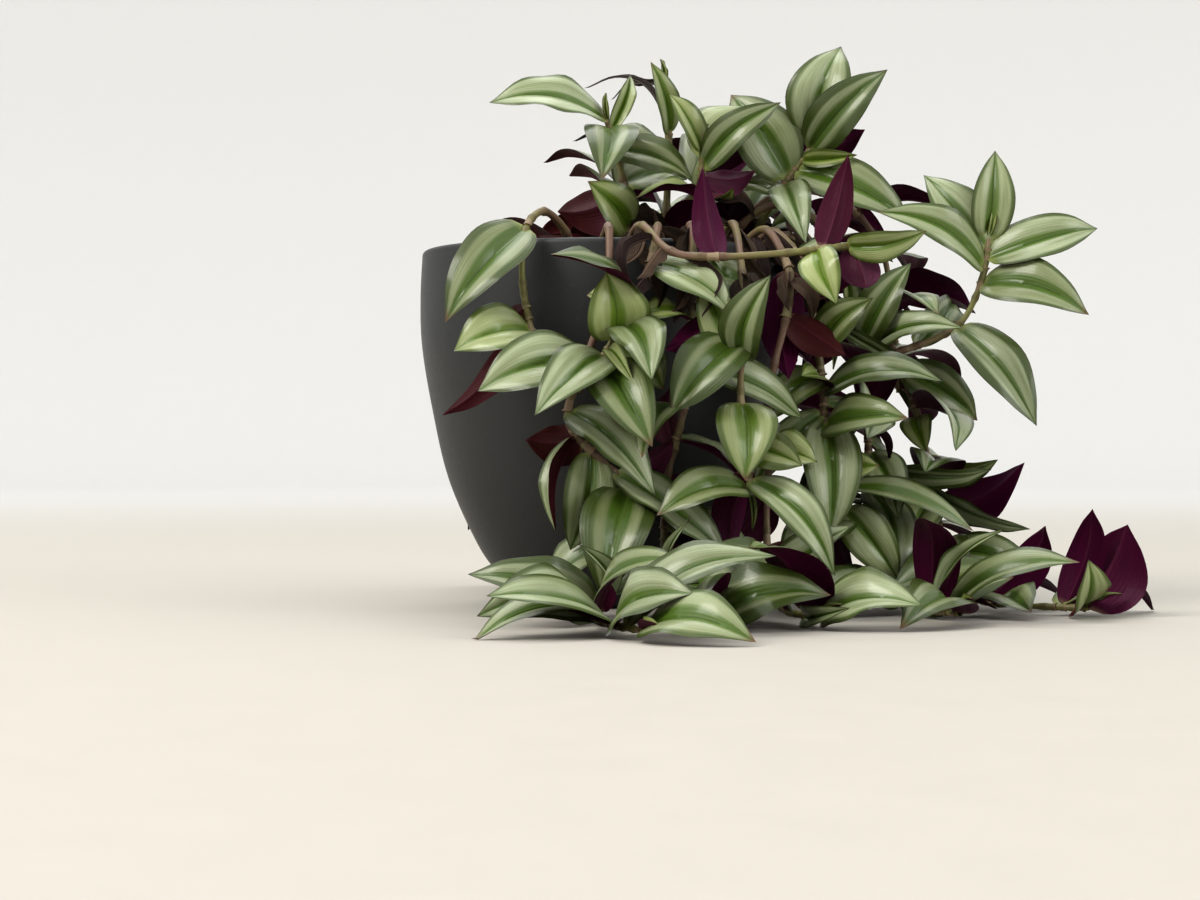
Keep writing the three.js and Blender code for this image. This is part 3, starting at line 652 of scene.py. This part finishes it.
def leaf_surface(leaf, u, v, rng):
    """Points of a leaf's upper face: arched, folded at the midrib, cupped, waved and twisted."""
    length = leaf["along"].length
    fold = math.radians(leaf["fold"])
    arch = np.sin(np.pi * u)
    twist = math.radians(rng.uniform(*TWIST)) * (u - TWIST_MIDDLE)
    half = LEAF_SPREAD * leaf["width"] / 2 * half_width(u) * (1 - leaf.get("taper", 0) * u)
    reach = np.abs(v)
    wave = rng.uniform(*WAVE_HEIGHT) * np.sin(
        2 * np.pi * (rng.uniform(*WAVE_COUNT) * u + rng.random() + WAVE_SHIFT * np.sign(v)))
    lift = half * (reach * math.sin(fold) + CUP * np.sin(np.pi * reach))
    lift = lift + wave * reach ** 3 * arch
    lift = lift - GROOVE_DEPTH * np.exp(-(v / GROOVE_WIDTH) ** 2) * arch
    aside = half * v * math.cos(fold)
    bow = BLADE_BOW * leaf.get("bow", 1) * rng.uniform(*BOW_SPREAD) * length * arch
    curl = TIP_CURL * leaf.get("curl", 1) * rng.uniform(*CURL_SPREAD)
    bow = bow - curl * length * smooth(u, CURL_FROM, 1) ** 2
    sway = rng.uniform(*SWAY) * length * arch
    up = (bow + lift * np.cos(twist) + aside * np.sin(twist))[..., None]
    over = (sway + aside * np.cos(twist) - lift * np.sin(twist))[..., None]
    middle = np.array(leaf["base"]) + np.array(leaf["along"]) * u[..., None]
    points = middle + np.array(leaf["face"]) * up + np.array(leaf["side"]) * over
    points[..., 2] = np.maximum(points[..., 2], LEAF_LOWEST)
    return points


def add_leaf(body, leaf, cells, number, rng):
    """A blade's upper and lower sheet, with rows that crowd towards both of its ends."""
    step = even_column(LEAF_ROWS)
    u = (1 - LEAF_CROWDED) * step + LEAF_CROWDED * (0.5 - 0.5 * np.cos(np.pi * step))
    u, v = np.broadcast_arrays(u, np.array(LEAF_ACROSS, float)[None, :])
    top = leaf_surface(leaf, u, v, rng)
    normal = np.cross(np.gradient(top, axis=1), np.gradient(top, axis=0))
    normal /= np.maximum(np.linalg.norm(normal, axis=2, keepdims=True), TINY)
    inner = (np.abs(v) < 1) & (u > 0) & (u < 1)
    rib = RIB_THICK * np.exp(-(v / RIB_WIDTH) ** 2) * (1 - u)
    thick = LEAF_THICK * (1 - LEAF_THINNER * v ** 2) + rib
    bottom = top - normal * (thick * inner)[..., None]
    young = 1 - smooth(leaf["along"].length, *YOUNG_LENGTH)
    tint = (rng.random(), young, rng.random())
    pattern = sheet(0.5 + 0.5 * v, u)
    across = 0.5 + 0.5 * v * half_width(u)
    upper, lower = leaf.get("slots", (TOP, UNDER))
    body.grid(top, upper, pattern, cells.place(2 * number, across, u), tint, turned=True)
    body.grid(bottom, lower, pattern, cells.place(2 * number + 1, across, u), tint)


def ring_grid(places, points, radii, reference):
    """Rings of points around a line at the given places, the first point towards reference."""
    rings, turns = [], ring(STEM_SIDES)
    for place, radius in zip(places, radii):
        middle = bent(points, place)
        ahead = min(place + LINE_STEP, len(points) - 1)
        line = bent(points, ahead) - bent(points, place - LINE_STEP)
        line.normalize()
        reference = (reference - line * reference.dot(line)).normalized()
        side = np.array(line.cross(reference))
        towards = np.cos(turns)[:, None] * np.array(reference) + np.sin(turns)[:, None] * side
        rings.append(np.array(middle) + towards * np.reshape(radius, (-1, 1)))
    return np.array(rings)


def stem_radius(places, points):
    return np.interp(places, (len(ROOT_HEIGHTS), len(points) - 1), STEM_TAPER)


def add_stem(body, stem, leaves, cells, rng):
    """The stem as a tube, a span at a time, thicker at the nodes and thinner towards its tip."""
    points = route(stem)
    last = len(points) - 1
    nodes = [leaf["place"] - SHEATH_LENGTH / REAR_STEP for leaf in leaves]
    nodes += range(len(ROOT_HEIGHTS), last)
    tone = rng.random()
    for span in range(last):
        places = span + np.linspace(0, 1, SPAN_STEPS + 1)
        length = (points[span + 1] - points[span]).length
        near = np.min(np.abs(places[:, None] - np.array(nodes)[None, :]), axis=1) * length
        swell = np.exp(-(near / NODE_REACH) ** 2)
        radii = stem_radius(places, points) + NODE_SWELL * swell
        rings = ring_grid(places, points, radii, RING_START)
        across, around = (places - span)[:, None], even_row(STEM_SIDES)
        pattern = sheet(around, places[:, None] * length / REAR_STEP)
        fresh = smooth(places, last - FRESH_JOINTS, last)[:, None]
        tint = sheet(np.full((1, STEM_SIDES), tone), fresh, swell[:, None])
        body.grid(rings, STEM, pattern, cells.place(span, across, around), tint, around=True)


def add_sheath(body, leaf, points, cells, number, rng):
    """The thin tube that a leaf's foot makes around the stem, open and oblique at its top."""
    span = (points[int(leaf["place"]) + 1] - points[int(leaf["place"])]).length
    radius = stem_radius(leaf["place"], points) * SHEATH_RADII * rng.uniform(*SHEATH_LOOSE)
    places = leaf["place"] + SHEATH_PLACES * SHEATH_LENGTH / span
    outer = ring_grid(places, points, radius, leaf["along"])
    inner = ring_grid(places, points, radius - SHEATH_WALL, leaf["along"])
    rim = np.cos(ring(STEM_SIDES))
    rise = np.array(leaf["along"].normalized() * SHEATH_BACK + UP * SHEATH_UP)
    for rings in (outer, inner):
        rings[-1] += (0.5 - 0.5 * rim)[:, None] * rise * rng.uniform(*SHEATH_RISE)
    rings = np.concatenate([outer, inner[::-1]])
    around, down = even_row(STEM_SIDES), even_column(len(rings))
    tint = (rng.random(), 1 - smooth(leaf["along"].length, *YOUNG_LENGTH), rng.random())
    pattern = sheet(around, 2 * np.minimum(down, 1 - down))
    body.grid(rings, SHEATH, pattern, cells.place(number, down, around), tint, around=True)


def strewn(rng, *ranges):
    """A vector with each of its coordinates drawn from a range."""
    return Vector([rng.uniform(*limits) for limits in ranges])


def free_leaf(base, along, face, **form):
    """A leaf that no solid sets, with its upper face turned as near to face as its line lets."""
    face = (face - along * face.dot(along) / along.length_squared).normalized()
    side = along.normalized().cross(face)
    return dict(base=base, along=along, face=face, side=side, **form)


def spear(stem, rng):
    """The rolled new leaf at the tip of a stem."""
    points = route(stem)
    line = (points[-1] - points[-2]).normalized()
    along = (line + strewn(rng, *SPEAR_ASIDE)).normalized() * rng.uniform(*SPEAR_LENGTH)
    return free_leaf(points[-1] - line, along, VIEWER_FACE, width=SPEAR_WIDTH, fold=SPEAR_FOLD)


def dry_leaves(stem, rng):
    """Shrivelled old leaves low on a stem, where it isn't just above the rim."""
    points, found = route(stem), []
    for place in DRY_PLACES:
        base = bent(points, place + rng.uniform(*DRY_SHIFT))
        out = math.hypot(base.x, base.y)
        over_rim = RIM_RADIUS - DRY_CLEAR < out < RIM_RADIUS
        if base.x < DRY_FROM_X or base.z > DRY_TOP or over_rim or place > len(points) - 2:
            continue
        if out < RIM_RADIUS:
            lean = (DRY_MIDDLE - base).normalized() * DRY_LEAN
            aside = strewn(rng, *DRY_INSIDE)
        else:
            lean = at(base.x, base.y, 0).normalized() * DRY_LEAN + DRY_HANG
            aside = UP.cross(base).normalized() * rng.uniform(*ANY_WAY)
        along = (lean + aside).normalized() * rng.uniform(*DRY_LENGTH)
        found.append(free_leaf(
            base, along, strewn(rng, *[ANY_WAY] * 3), width=rng.uniform(*DRY_WIDTH),
            fold=rng.uniform(*DRY_FOLD), bow=rng.uniform(*DRY_BOW), slots=(DRY, DRY)))
    return found


def make_stem(stem, number, materials):
    rng = random.Random(number)
    leaves = settled_leaves(stem)
    points = route(stem)
    blades = leaves + [spear(stem, rng)] + dry_leaves(stem, rng)
    body = Body()
    leaf_cells = Cells(2 * len(blades), STEM_BAND, 1, BLADE_ASPECT)
    stem_cells = Cells(len(points) - 1 + len(leaves), 0, STEM_BAND, TUBE_ASPECT)
    add_stem(body, stem, leaves, stem_cells, rng)
    for order, leaf in enumerate(leaves):
        add_sheath(body, leaf, points, stem_cells, len(points) - 1 + order, rng)
    for order, blade in enumerate(blades):
        add_leaf(body, blade, leaf_cells, order, rng)
    piece = body.build(stem["name"] + "_dressed", materials)
    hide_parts(stem["name"])
    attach(piece, "root")


def curve_points(controls, steps):
    """Points of the smooth curve through the controls, as the solids use it."""
    found = []
    for k in range(len(controls) - 1):
        before, start, end, after = (
            controls[min(max(k + shift, 0), len(controls) - 1)] for shift in (-1, 0, 1, 2))
        for step in range(steps):
            t = step / steps
            found.append(tuple(
                0.5 * (2 * b + (c - a) * t + (2 * a - 5 * b + 4 * c - d) * t ** 2
                       + (3 * b - a - 3 * c + d) * t ** 3)
                for a, b, c, d in zip(before, start, end, after)))
    return found + [controls[-1]]


OUTSIDE = curve_points(POT_OUTLINE, POT_SPANS)


def pot_radius(height):
    """Radius of the pot's outside at a height."""
    return np.interp(height, [z for r, z in OUTSIDE], [r for r, z in OUTSIDE])


def lathe(body, profile, slot, sides, band=1):
    """Turns a profile of (radius, height) about the pot's axis. Its map goes up to band."""
    turns = ring(sides)[None, :]
    radius = np.array([r for r, z in profile])[:, None]
    height = np.array([z for r, z in profile])[:, None]
    points = sheet(radius * np.sin(turns), -radius * np.cos(turns), height)
    around, down = even_row(sides), even_column(len(profile))
    bake = Cells(1, 0, band, 1).place(0, around, down)
    body.grid(points, slot, sheet(around, down), bake, around=True)


def make_pot(material):
    lip_height = POT_HEIGHT - LIP_ROUND
    lip_radius = RIM_RADIUS - LIP_ROUND
    lip = [
        (lip_radius + LIP_ROUND * math.cos(turn), lip_height + LIP_ROUND * math.sin(turn))
        for turn in np.linspace(0, math.pi, LIP_STEPS)
    ]
    foot = [(0, 0), (POT_OUTLINE[0][0] - FOOT_ROUND, 0)]
    outside = [(r, z) for r, z in OUTSIDE if FOOT_ROUND < z < lip_height]
    inside = [
        (pot_radius(z) - POT_WALL, z) for z in np.linspace(lip_height, POT_FLOOR, INSIDE_STEPS)
    ]
    profile = foot + outside + lip + inside + [(0, POT_FLOOR)]
    body = Body()
    lathe(body, profile, 0, POT_SIDES)
    piece = body.build("pot_dressed", [material])
    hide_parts("pot")
    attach(piece, "root")


def soil_height(x, y):
    """The uneven top of the soil."""
    waves = (
        height * noise.noise(at(x / width, y / width, 1 + WAVE_APART * number))
        for number, (height, width) in enumerate(SOIL_WAVES))
    return SOIL_TOP + sum(waves)


def make_soil(materials):
    body = Body()
    bottom = POT_FLOOR + SOIL_GAP
    edge = pot_radius(SOIL_TOP) - POT_WALL - SOIL_GAP
    wall = [
        (pot_radius(z) - POT_WALL - SOIL_GAP, z)
        for z in np.linspace(bottom, SOIL_TOP, INSIDE_STEPS)
    ]
    top = [(edge * (1 - k / SOIL_RINGS), SOIL_TOP) for k in range(1, SOIL_RINGS + 1)]
    lathe(body, [(0, bottom)] + wall + top, EARTH, SOIL_SIDES, SOIL_BAND)
    for point in body.points[0]:
        if point[2] > SOIL_TOP - MM:
            point[2] = soil_height(point[0], point[1])
    chip_cells = Cells(CHIPS, SOIL_BAND, 1, 1)
    rng = random.Random(CHIP_SEED)
    for number in range(CHIPS):
        turn, out = rng.uniform(0, 2 * math.pi), edge * math.sqrt(rng.uniform(0, CHIP_REACH))
        x, y = out * math.cos(turn), out * math.sin(turn)
        add_chip(body, x, y, chip_cells, number, rng)
    piece = body.build("soil_dressed", materials)
    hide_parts("soil")
    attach(piece, "root")


def add_chip(body, x, y, cells, number, rng):
    """A crumb of bark or perlite half sunk in the soil."""
    perlite = rng.random() < PERLITE_SHARE
    size = rng.uniform(*CHIP_SIZE) * (PERLITE_SCALE if perlite else 1)
    shape = (
        PERLITE_SHAPE if perlite else (1, rng.uniform(*BARK_DEPTH), rng.uniform(*BARK_HEIGHT)))
    around, down = even_row(CHIP_SIDES), even_column(CHIP_ROWS)
    turn, fall = ring(CHIP_SIDES)[None, :], np.pi * down
    rough = np.array([
        [rng.uniform(*CHIP_ROUGH) for _ in range(CHIP_SIDES)] for _ in range(CHIP_ROWS)])
    rough[0] = rough[-1] = 1
    ball = sheet(
        np.sin(fall) * np.sin(turn) * rough, np.sin(fall) * np.cos(turn) * rough,
        np.cos(fall) * rough) * np.array(shape) * size
    turned = Matrix.Rotation(rng.uniform(0, 2 * math.pi), 3, "Z") @ Matrix.Rotation(
        rng.uniform(*CHIP_TILT), 3, "X")
    middle = np.array((x, y, soil_height(x, y) + CHIP_RISE * size))
    points = ball @ np.array(turned).T + middle
    tint = (rng.random(), 0, rng.random())
    body.grid(
        points, PERLITE if perlite else BARK, sheet(around, down),
        cells.place(number, around, down), tint, around=True, turned=True)


class Value:
    """What a node gives, to reckon with as with a number."""

    def __init__(self, shader, socket):
        self.shader, self.socket = shader, socket

    def __add__(self, other):
        return self.shader.math("ADD", self, other)

    def __sub__(self, other):
        return self.shader.math("SUBTRACT", self, other)

    def __mul__(self, other):
        return self.shader.math("MULTIPLY", self, other)

    def ramp(self, low, high, start=0, end=1):
        """start below low, end above high, and a smooth change between."""
        return self.shader.add("ShaderNodeMapRange", {
            "Value": self, "From Min": low, "From Max": high, "To Min": start, "To Max": end,
        }, interpolation_type="SMOOTHSTEP")


class Shader:
    """A material's nodes, added one by one. Each input takes a Value, a number, or a colour as
    linear red, green and blue."""

    def __init__(self, name, specular, coat=0, coat_roughness=0.03):
        self.material = bpy.data.materials.new(name)
        self.material.use_nodes = True
        self.tree = self.material.node_tree
        self.surface = self.tree.nodes["Principled BSDF"].inputs
        self.put(self.surface["Specular IOR Level"], specular)
        self.put(self.surface["Coat Weight"], coat)
        self.put(self.surface["Coat Roughness"], coat_roughness)

    def put(self, socket, value):
        if isinstance(value, Value):
            self.tree.links.new(value.socket, socket)
        else:
            socket.default_value = (*value, 1) if isinstance(value, tuple) else value

    def outputs(self, kind, inputs, **settings):
        node = self.tree.nodes.new(kind)
        for key, value in settings.items():
            setattr(node, key, value)
        for key, value in inputs.items():
            self.put(node.inputs[key], value)
        return node.outputs

    def add(self, kind, inputs, output=0, **settings):
        return Value(self, self.outputs(kind, inputs, **settings)[output])

    def parts(self, kind, inputs):
        return [Value(self, socket) for socket in self.outputs(kind, inputs)]

    def math(self, operation, *values):
        return self.add("ShaderNodeMath", dict(enumerate(values)), operation=operation)

    def mix(self, factor, one, other, blend="MIX"):
        """Two colours mixed. The numbers are those of the node's sockets for colours."""
        return self.add("ShaderNodeMix", {0: factor, 6: one, 7: other}, 2,
            data_type="RGBA", blend_type=blend)

    def layers(self, colour, *layers):
        """A colour with others over it, each given as how much and its colour."""
        for factor, other in layers:
            colour = self.mix(factor, colour, other)
        return colour

    def vector(self, x, y, z):
        return self.add("ShaderNodeCombineXYZ", {"X": x, "Y": y, "Z": z})

    def noise(self, scale, detail=2, roughness=0.5, vector=None):
        """Noise over the place in metres, or over another vector."""
        return self.add("ShaderNodeTexNoise", {
            "Vector": vector or self.place(), "Scale": scale, "Detail": detail,
            "Roughness": roughness,
        })

    def place(self):
        return self.add("ShaderNodeTexCoord", {}, "Object")

    def axis(self, name):
        """One coordinate of the place in metres."""
        return self.add("ShaderNodeSeparateXYZ", {"Vector": self.place()}, name)

    def pattern(self):
        """The two coordinates of the piece's own map."""
        uv = self.add("ShaderNodeUVMap", {}, uv_map="pattern")
        return self.parts("ShaderNodeSeparateXYZ", {"Vector": uv})[:2]

    def tint(self):
        """The three values that a piece's points carry for its shader."""
        colour = self.add("ShaderNodeAttribute", {}, "Color", attribute_name="tint")
        return self.parts("ShaderNodeSeparateColor", {"Color": colour})

    def finish(self, colour, roughness, height=None, depth=0, strength=1):
        self.put(self.surface["Base Color"], colour)
        self.put(self.surface["Roughness"], roughness)
        if height is not None:
            self.put(self.surface["Normal"], self.add("ShaderNodeBump", {
                "Height": height, "Distance": depth, "Strength": strength}))
        return self.material


def blade_coordinates(shader):
    """Across a blade from midrib to margin, along it, its broad streaks and its fine lines."""
    x, along = shader.pattern()
    signed = x * 2 - 1
    seed = shader.tint()[2]
    streaks = shader.noise(1, vector=shader.vector(signed * 3.4, along * 1.2, seed * 37))
    return shader.math("ABSOLUTE", signed), along, streaks, shader.math("SINE", signed * 58)


def leaf_top_material():
    shader = Shader("leaf_top", 0.35, 0.45, 0.18)
    across, along, streaks, lines = blade_coordinates(shader)
    tone, young, seed = shader.tint()
    uneven = streaks - 0.5
    inner = along * -0.13 + 0.26 + uneven * 0.22 + seed.ramp(0, 1, -0.06, 0.13)
    outer = along * -0.07 + 0.88 + uneven * 0.2 + tone.ramp(0, 0.6, -0.24, 0.02)
    silver = across.ramp(inner - 0.09, inner + 0.08) * across.ramp(
        outer - 0.15, outer + 0.03, 1, 0)
    silver = silver * along.ramp(0, 0.14) * along.ramp(0.88, 1, 1, 0.35)
    centre = shader.mix(young, (0.064, 0.112, 0.012), (0.112, 0.172, 0.014))
    margin = shader.mix(young, (0.047, 0.069, 0.013), (0.085, 0.118, 0.018))
    green = shader.layers(
        centre, (across.ramp(0.3, 0.75), margin),
        (streaks.ramp(0.35, 0.8, 0, 0.3), (0.037, 0.07, 0.012)))
    frost = shader.layers(
        (0.168, 0.195, 0.104), (streaks.ramp(0.25, 0.75), (0.285, 0.325, 0.218)),
        (seed.ramp(0.35, 1, 0, 0.55), (0.138, 0.162, 0.064)),
        (young * 0.5, (0.29, 0.325, 0.09)))
    veins = lines.ramp(0.6, 1, 0, 0.05)
    # Painted shade: a darker green line along the midrib, standing for the shade that lies in its
    # groove
    midrib = across.ramp(0.012, 0.035, 0.5, 0)
    foot = along.ramp(0, 0.09, 0.7, 0)
    edge = shader.math(
        "MAXIMUM", across.ramp(0.95, 0.985, 0, 0.85), along.ramp(0.965, 0.99, 0, 0.8))
    withered = along.ramp(streaks.ramp(0.2, 0.8, 0.97, 0.84), 1) * seed.ramp(0.55, 0.7)
    colour = shader.layers(
        green, (silver, frost), (veins, (0.1, 0.155, 0.065)), (midrib, (0.03, 0.06, 0.012)),
        (foot, (0.33, 0.36, 0.13)), (edge, (0.026, 0.028, 0.009)),
        (withered, (0.12, 0.062, 0.028)))
    shade = tone * 0.4 + shader.noise(55) * 0.34
    grey = shader.add(
        "ShaderNodeCombineColor", {0: shade + 0.66, 1: shade + 0.67, 2: shade + 0.58})
    colour = shader.mix(1, colour, grey, "MULTIPLY")
    roughness = streaks.ramp(0.2, 0.8, 0.38, 0.5) + silver * -0.04
    cells = shader.noise(2600, 1)
    height = lines * 0.2 + cells * 0.5 + streaks * 0.9
    return shader.finish(colour, roughness, height, 0.00025, 0.55)


def leaf_under_material():
    shader = Shader("leaf_under", 0.1, 0.02)
    across, along, streaks, lines = blade_coordinates(shader)
    tone, young = shader.tint()[:2]
    violet = shader.mix(streaks, (0.072, 0.003, 0.034), (0.036, 0.0015, 0.017))
    maroon = shader.mix(streaks, (0.06, 0.006, 0.009), (0.03, 0.003, 0.004))
    left = shader.axis("X").ramp(-0.008, 0.008, 1, 0)
    red = shader.math("MAXIMUM", tone.ramp(0.8, 1), left)
    veins = lines.ramp(0.2, 1, 0, 0.08)
    rib = across.ramp(0.02, 0.06, 0.5, 0)
    foot = along.ramp(0, 0.08, 0.6, 0)
    colour = shader.layers(
        violet, (red, maroon), (young * 0.12, (0.11, 0.07, 0.04)),
        (veins, (0.085, 0.01, 0.042)), (rib, (0.1, 0.022, 0.045)), (foot, (0.28, 0.2, 0.12)))
    height = lines * 0.25 + shader.noise(2600, 1) * 0.6
    return shader.finish(colour, streaks.ramp(0.2, 0.8, 0.44, 0.56), height, 0.00025, 0.6)


def stem_material():
    shader = Shader("stem", 0.45)
    around, along = shader.pattern()
    tone, young, near_node = shader.tint()
    fibres = shader.noise(1, 3, vector=shader.vector(around * 16, along * 1.5, tone))
    blotches = shader.noise(90, 3)
    old = shader.layers(
        (0.21, 0.125, 0.085), (fibres, (0.095, 0.05, 0.038)),
        (blotches.ramp(0.42, 0.68), (0.15, 0.125, 0.048)))
    fresh = shader.mix(fibres, (0.23, 0.225, 0.07), (0.13, 0.14, 0.038))
    colour = shader.layers(
        old, ((young + tone * 0.25).ramp(0.1, 0.95), fresh),
        (near_node * 0.55, (0.075, 0.044, 0.024)))
    return shader.finish(colour, fibres.ramp(0.3, 0.7, 0.4, 0.58), fibres, 0.0003, 0.6)


def sheath_material():
    shader = Shader("sheath", 0.4)
    around, along = shader.pattern()
    young, seed = shader.tint()[1:3]
    fibres = shader.noise(1, 3, vector=shader.vector(around * 26, along * 0.8, seed * 20))
    paper = shader.mix(fibres, (0.32, 0.26, 0.16), (0.15, 0.085, 0.055))
    fresh = shader.mix(fibres, (0.27, 0.28, 0.12), (0.14, 0.095, 0.055))
    colour = shader.layers(
        paper, (young, fresh), (along.ramp(0.75, 1, 0, 0.5), (0.2, 0.08, 0.07)))
    return shader.finish(colour, fibres.ramp(0.3, 0.7, 0.5, 0.68), fibres, 0.0003, 0.7)


def dry_painted_shade_light_material():
    shader = Shader("dry_leaf_painted_shade_light", 0.3)
    streaks, lines = blade_coordinates(shader)[2:]
    tone = shader.tint()[0]
    purple = tone.ramp(0, 0.4, 0.7, 0)
    bleached = tone.ramp(0.7, 1, 0, 0.7)
    # Painted light: dried leaves above about 190 mm, the curls at the top of the crown, turn a
    # paler grey, partly for their own bleached colour and partly as painted light over the shade
    # they are seen in
    high = shader.axis("Z").ramp(0.185, 0.205, 0, 0.85)
    # The near-black brown is partly the dried leaves' own colour and partly painted shade,
    # darkening the hollows of the crown where they lie
    colour = shader.layers(
        (0.022, 0.011, 0.007), (streaks, (0.095, 0.058, 0.032)), (purple, (0.07, 0.036, 0.04)),
        (bleached, (0.19, 0.125, 0.085)), (high, (0.18, 0.15, 0.138)))
    height = lines + streaks * 2
    return shader.finish(colour, streaks.ramp(0.2, 0.8, 0.6, 0.8), height, 0.0004)


def pot_material():
    shader = Shader("pot", 0.45)
    clouds = shader.noise(18, 3)
    grain = shader.noise(900, 3, 0.6)
    specks = shader.noise(420, 1).ramp(0.68, 0.78, 0, 0.25)
    colour = shader.layers(
        (0.0165, 0.018, 0.0185), (clouds, (0.0255, 0.0268, 0.027)),
        (specks, (0.042, 0.044, 0.046)))
    roughness = clouds.ramp(0.3, 0.7, 0.44, 0.52) + grain.ramp(0.3, 0.7, -0.03, 0.03)
    return shader.finish(colour, roughness, grain, 0.0002, 0.35)


def soil_material():
    shader = Shader("soil", 0.3)
    lumps = shader.noise(160, 4)
    grains = shader.noise(1400, 4, 0.7)
    colour = shader.layers(
        (0.012, 0.008, 0.005), (lumps, (0.055, 0.034, 0.02)),
        (grains.ramp(0.5, 0.75, 0, 0.6), (0.085, 0.055, 0.032)))
    return shader.finish(colour, lumps.ramp(0.3, 0.7, 0.8, 0.95), grains, 0.0008)


def chip_material(name, dark, light):
    shader = Shader(name, 0.3)
    grain = shader.noise(700, 3)
    colour = shader.mix((shader.tint()[0] + grain) * 0.5, dark, light)
    return shader.finish(colour, grain.ramp(0.3, 0.7, 0.75, 0.9), grain, 0.0004)


def make_stage():
    """A pale floor that runs up into a pale wall all round."""
    turn_points = [
        (STAGE_RADIUS + STAGE_BEND * math.sin(turn), STAGE_BEND * (1 - math.cos(turn)))
        for turn in np.linspace(0, math.pi / 2, STAGE_STEPS)
    ]
    profile = [(0, 0)] + turn_points + [(STAGE_RADIUS + STAGE_BEND, STAGE_HEIGHT)]
    body = Body()
    lathe(body, profile[::-1], 0, STAGE_SIDES)
    shader = Shader("floor", 0.2)
    grain = shader.noise(40, 3)
    # Painted light: the floor gets paler further from the plant, where the lamps' light falls off,
    # until it takes the wall's own paler colour
    away = shader.add("ShaderNodeVectorMath", {0: shader.place()}, "Value", operation="LENGTH")
    near = shader.mix(grain, (0.445, 0.42, 0.378), (0.475, 0.45, 0.408))
    colour = shader.mix(away.ramp(*STAGE_LIGHT_FADE), near, (0.745, 0.74, 0.732))
    floor = body.build("floor", [shader.finish(colour, grain.ramp(0.3, 0.7, 0.7, 0.8))])


def make_lights():
    for name, place, size, watts, colour in LIGHTS:
        lamp = bpy.data.lights.new(name, "AREA")
        lamp.size = size
        lamp.energy = watts
        lamp.color = colour
        light = linked(name, lamp)
        light.location = place
        light.rotation_euler = (AIM - light.location).to_track_quat("-Z", "Y").to_euler()
    world = bpy.data.worlds.new("studio")
    world.use_nodes = True
    view = bpy.context.scene.view_settings
    view.view_transform = "Standard"
    view.look = "Medium High Contrast"
    sky = world.node_tree.nodes["Background"]
    sky.inputs["Color"].default_value = SKY
    sky.inputs["Strength"].default_value = SKY_STRENGTH
    bpy.context.scene.world = world


def make_camera():
    """The photo's viewpoint: level, 1 m before the pot's axis, 64 mm above the surface."""
    lens = bpy.data.cameras.new("camera")
    lens.lens = LENS
    lens.clip_start, lens.clip_end = CAMERA_RANGE
    camera = linked("camera", lens)
    camera.location = CAMERA_PLACE
    camera.rotation_euler = (math.pi / 2, 0, 0)
    bpy.context.scene.camera = camera


make_camera()
make_stage()
make_lights()
make_pot(pot_material())
make_soil([
    soil_material(),
    chip_material("bark", (0.03, 0.016, 0.009), (0.15, 0.08, 0.042)),
    chip_material("perlite", (0.42, 0.4, 0.36), (0.68, 0.66, 0.62)),
])
stem_materials = [
    leaf_top_material(), leaf_under_material(), stem_material(), sheath_material(), dry_painted_shade_light_material(),
]
stems = [front_stem(*row) for row in FRONT_STEMS] + [rear_stem(*row) for row in REAR_STEMS]
for number, stem in enumerate(stems):
    make_stem(stem, number, stem_materials)
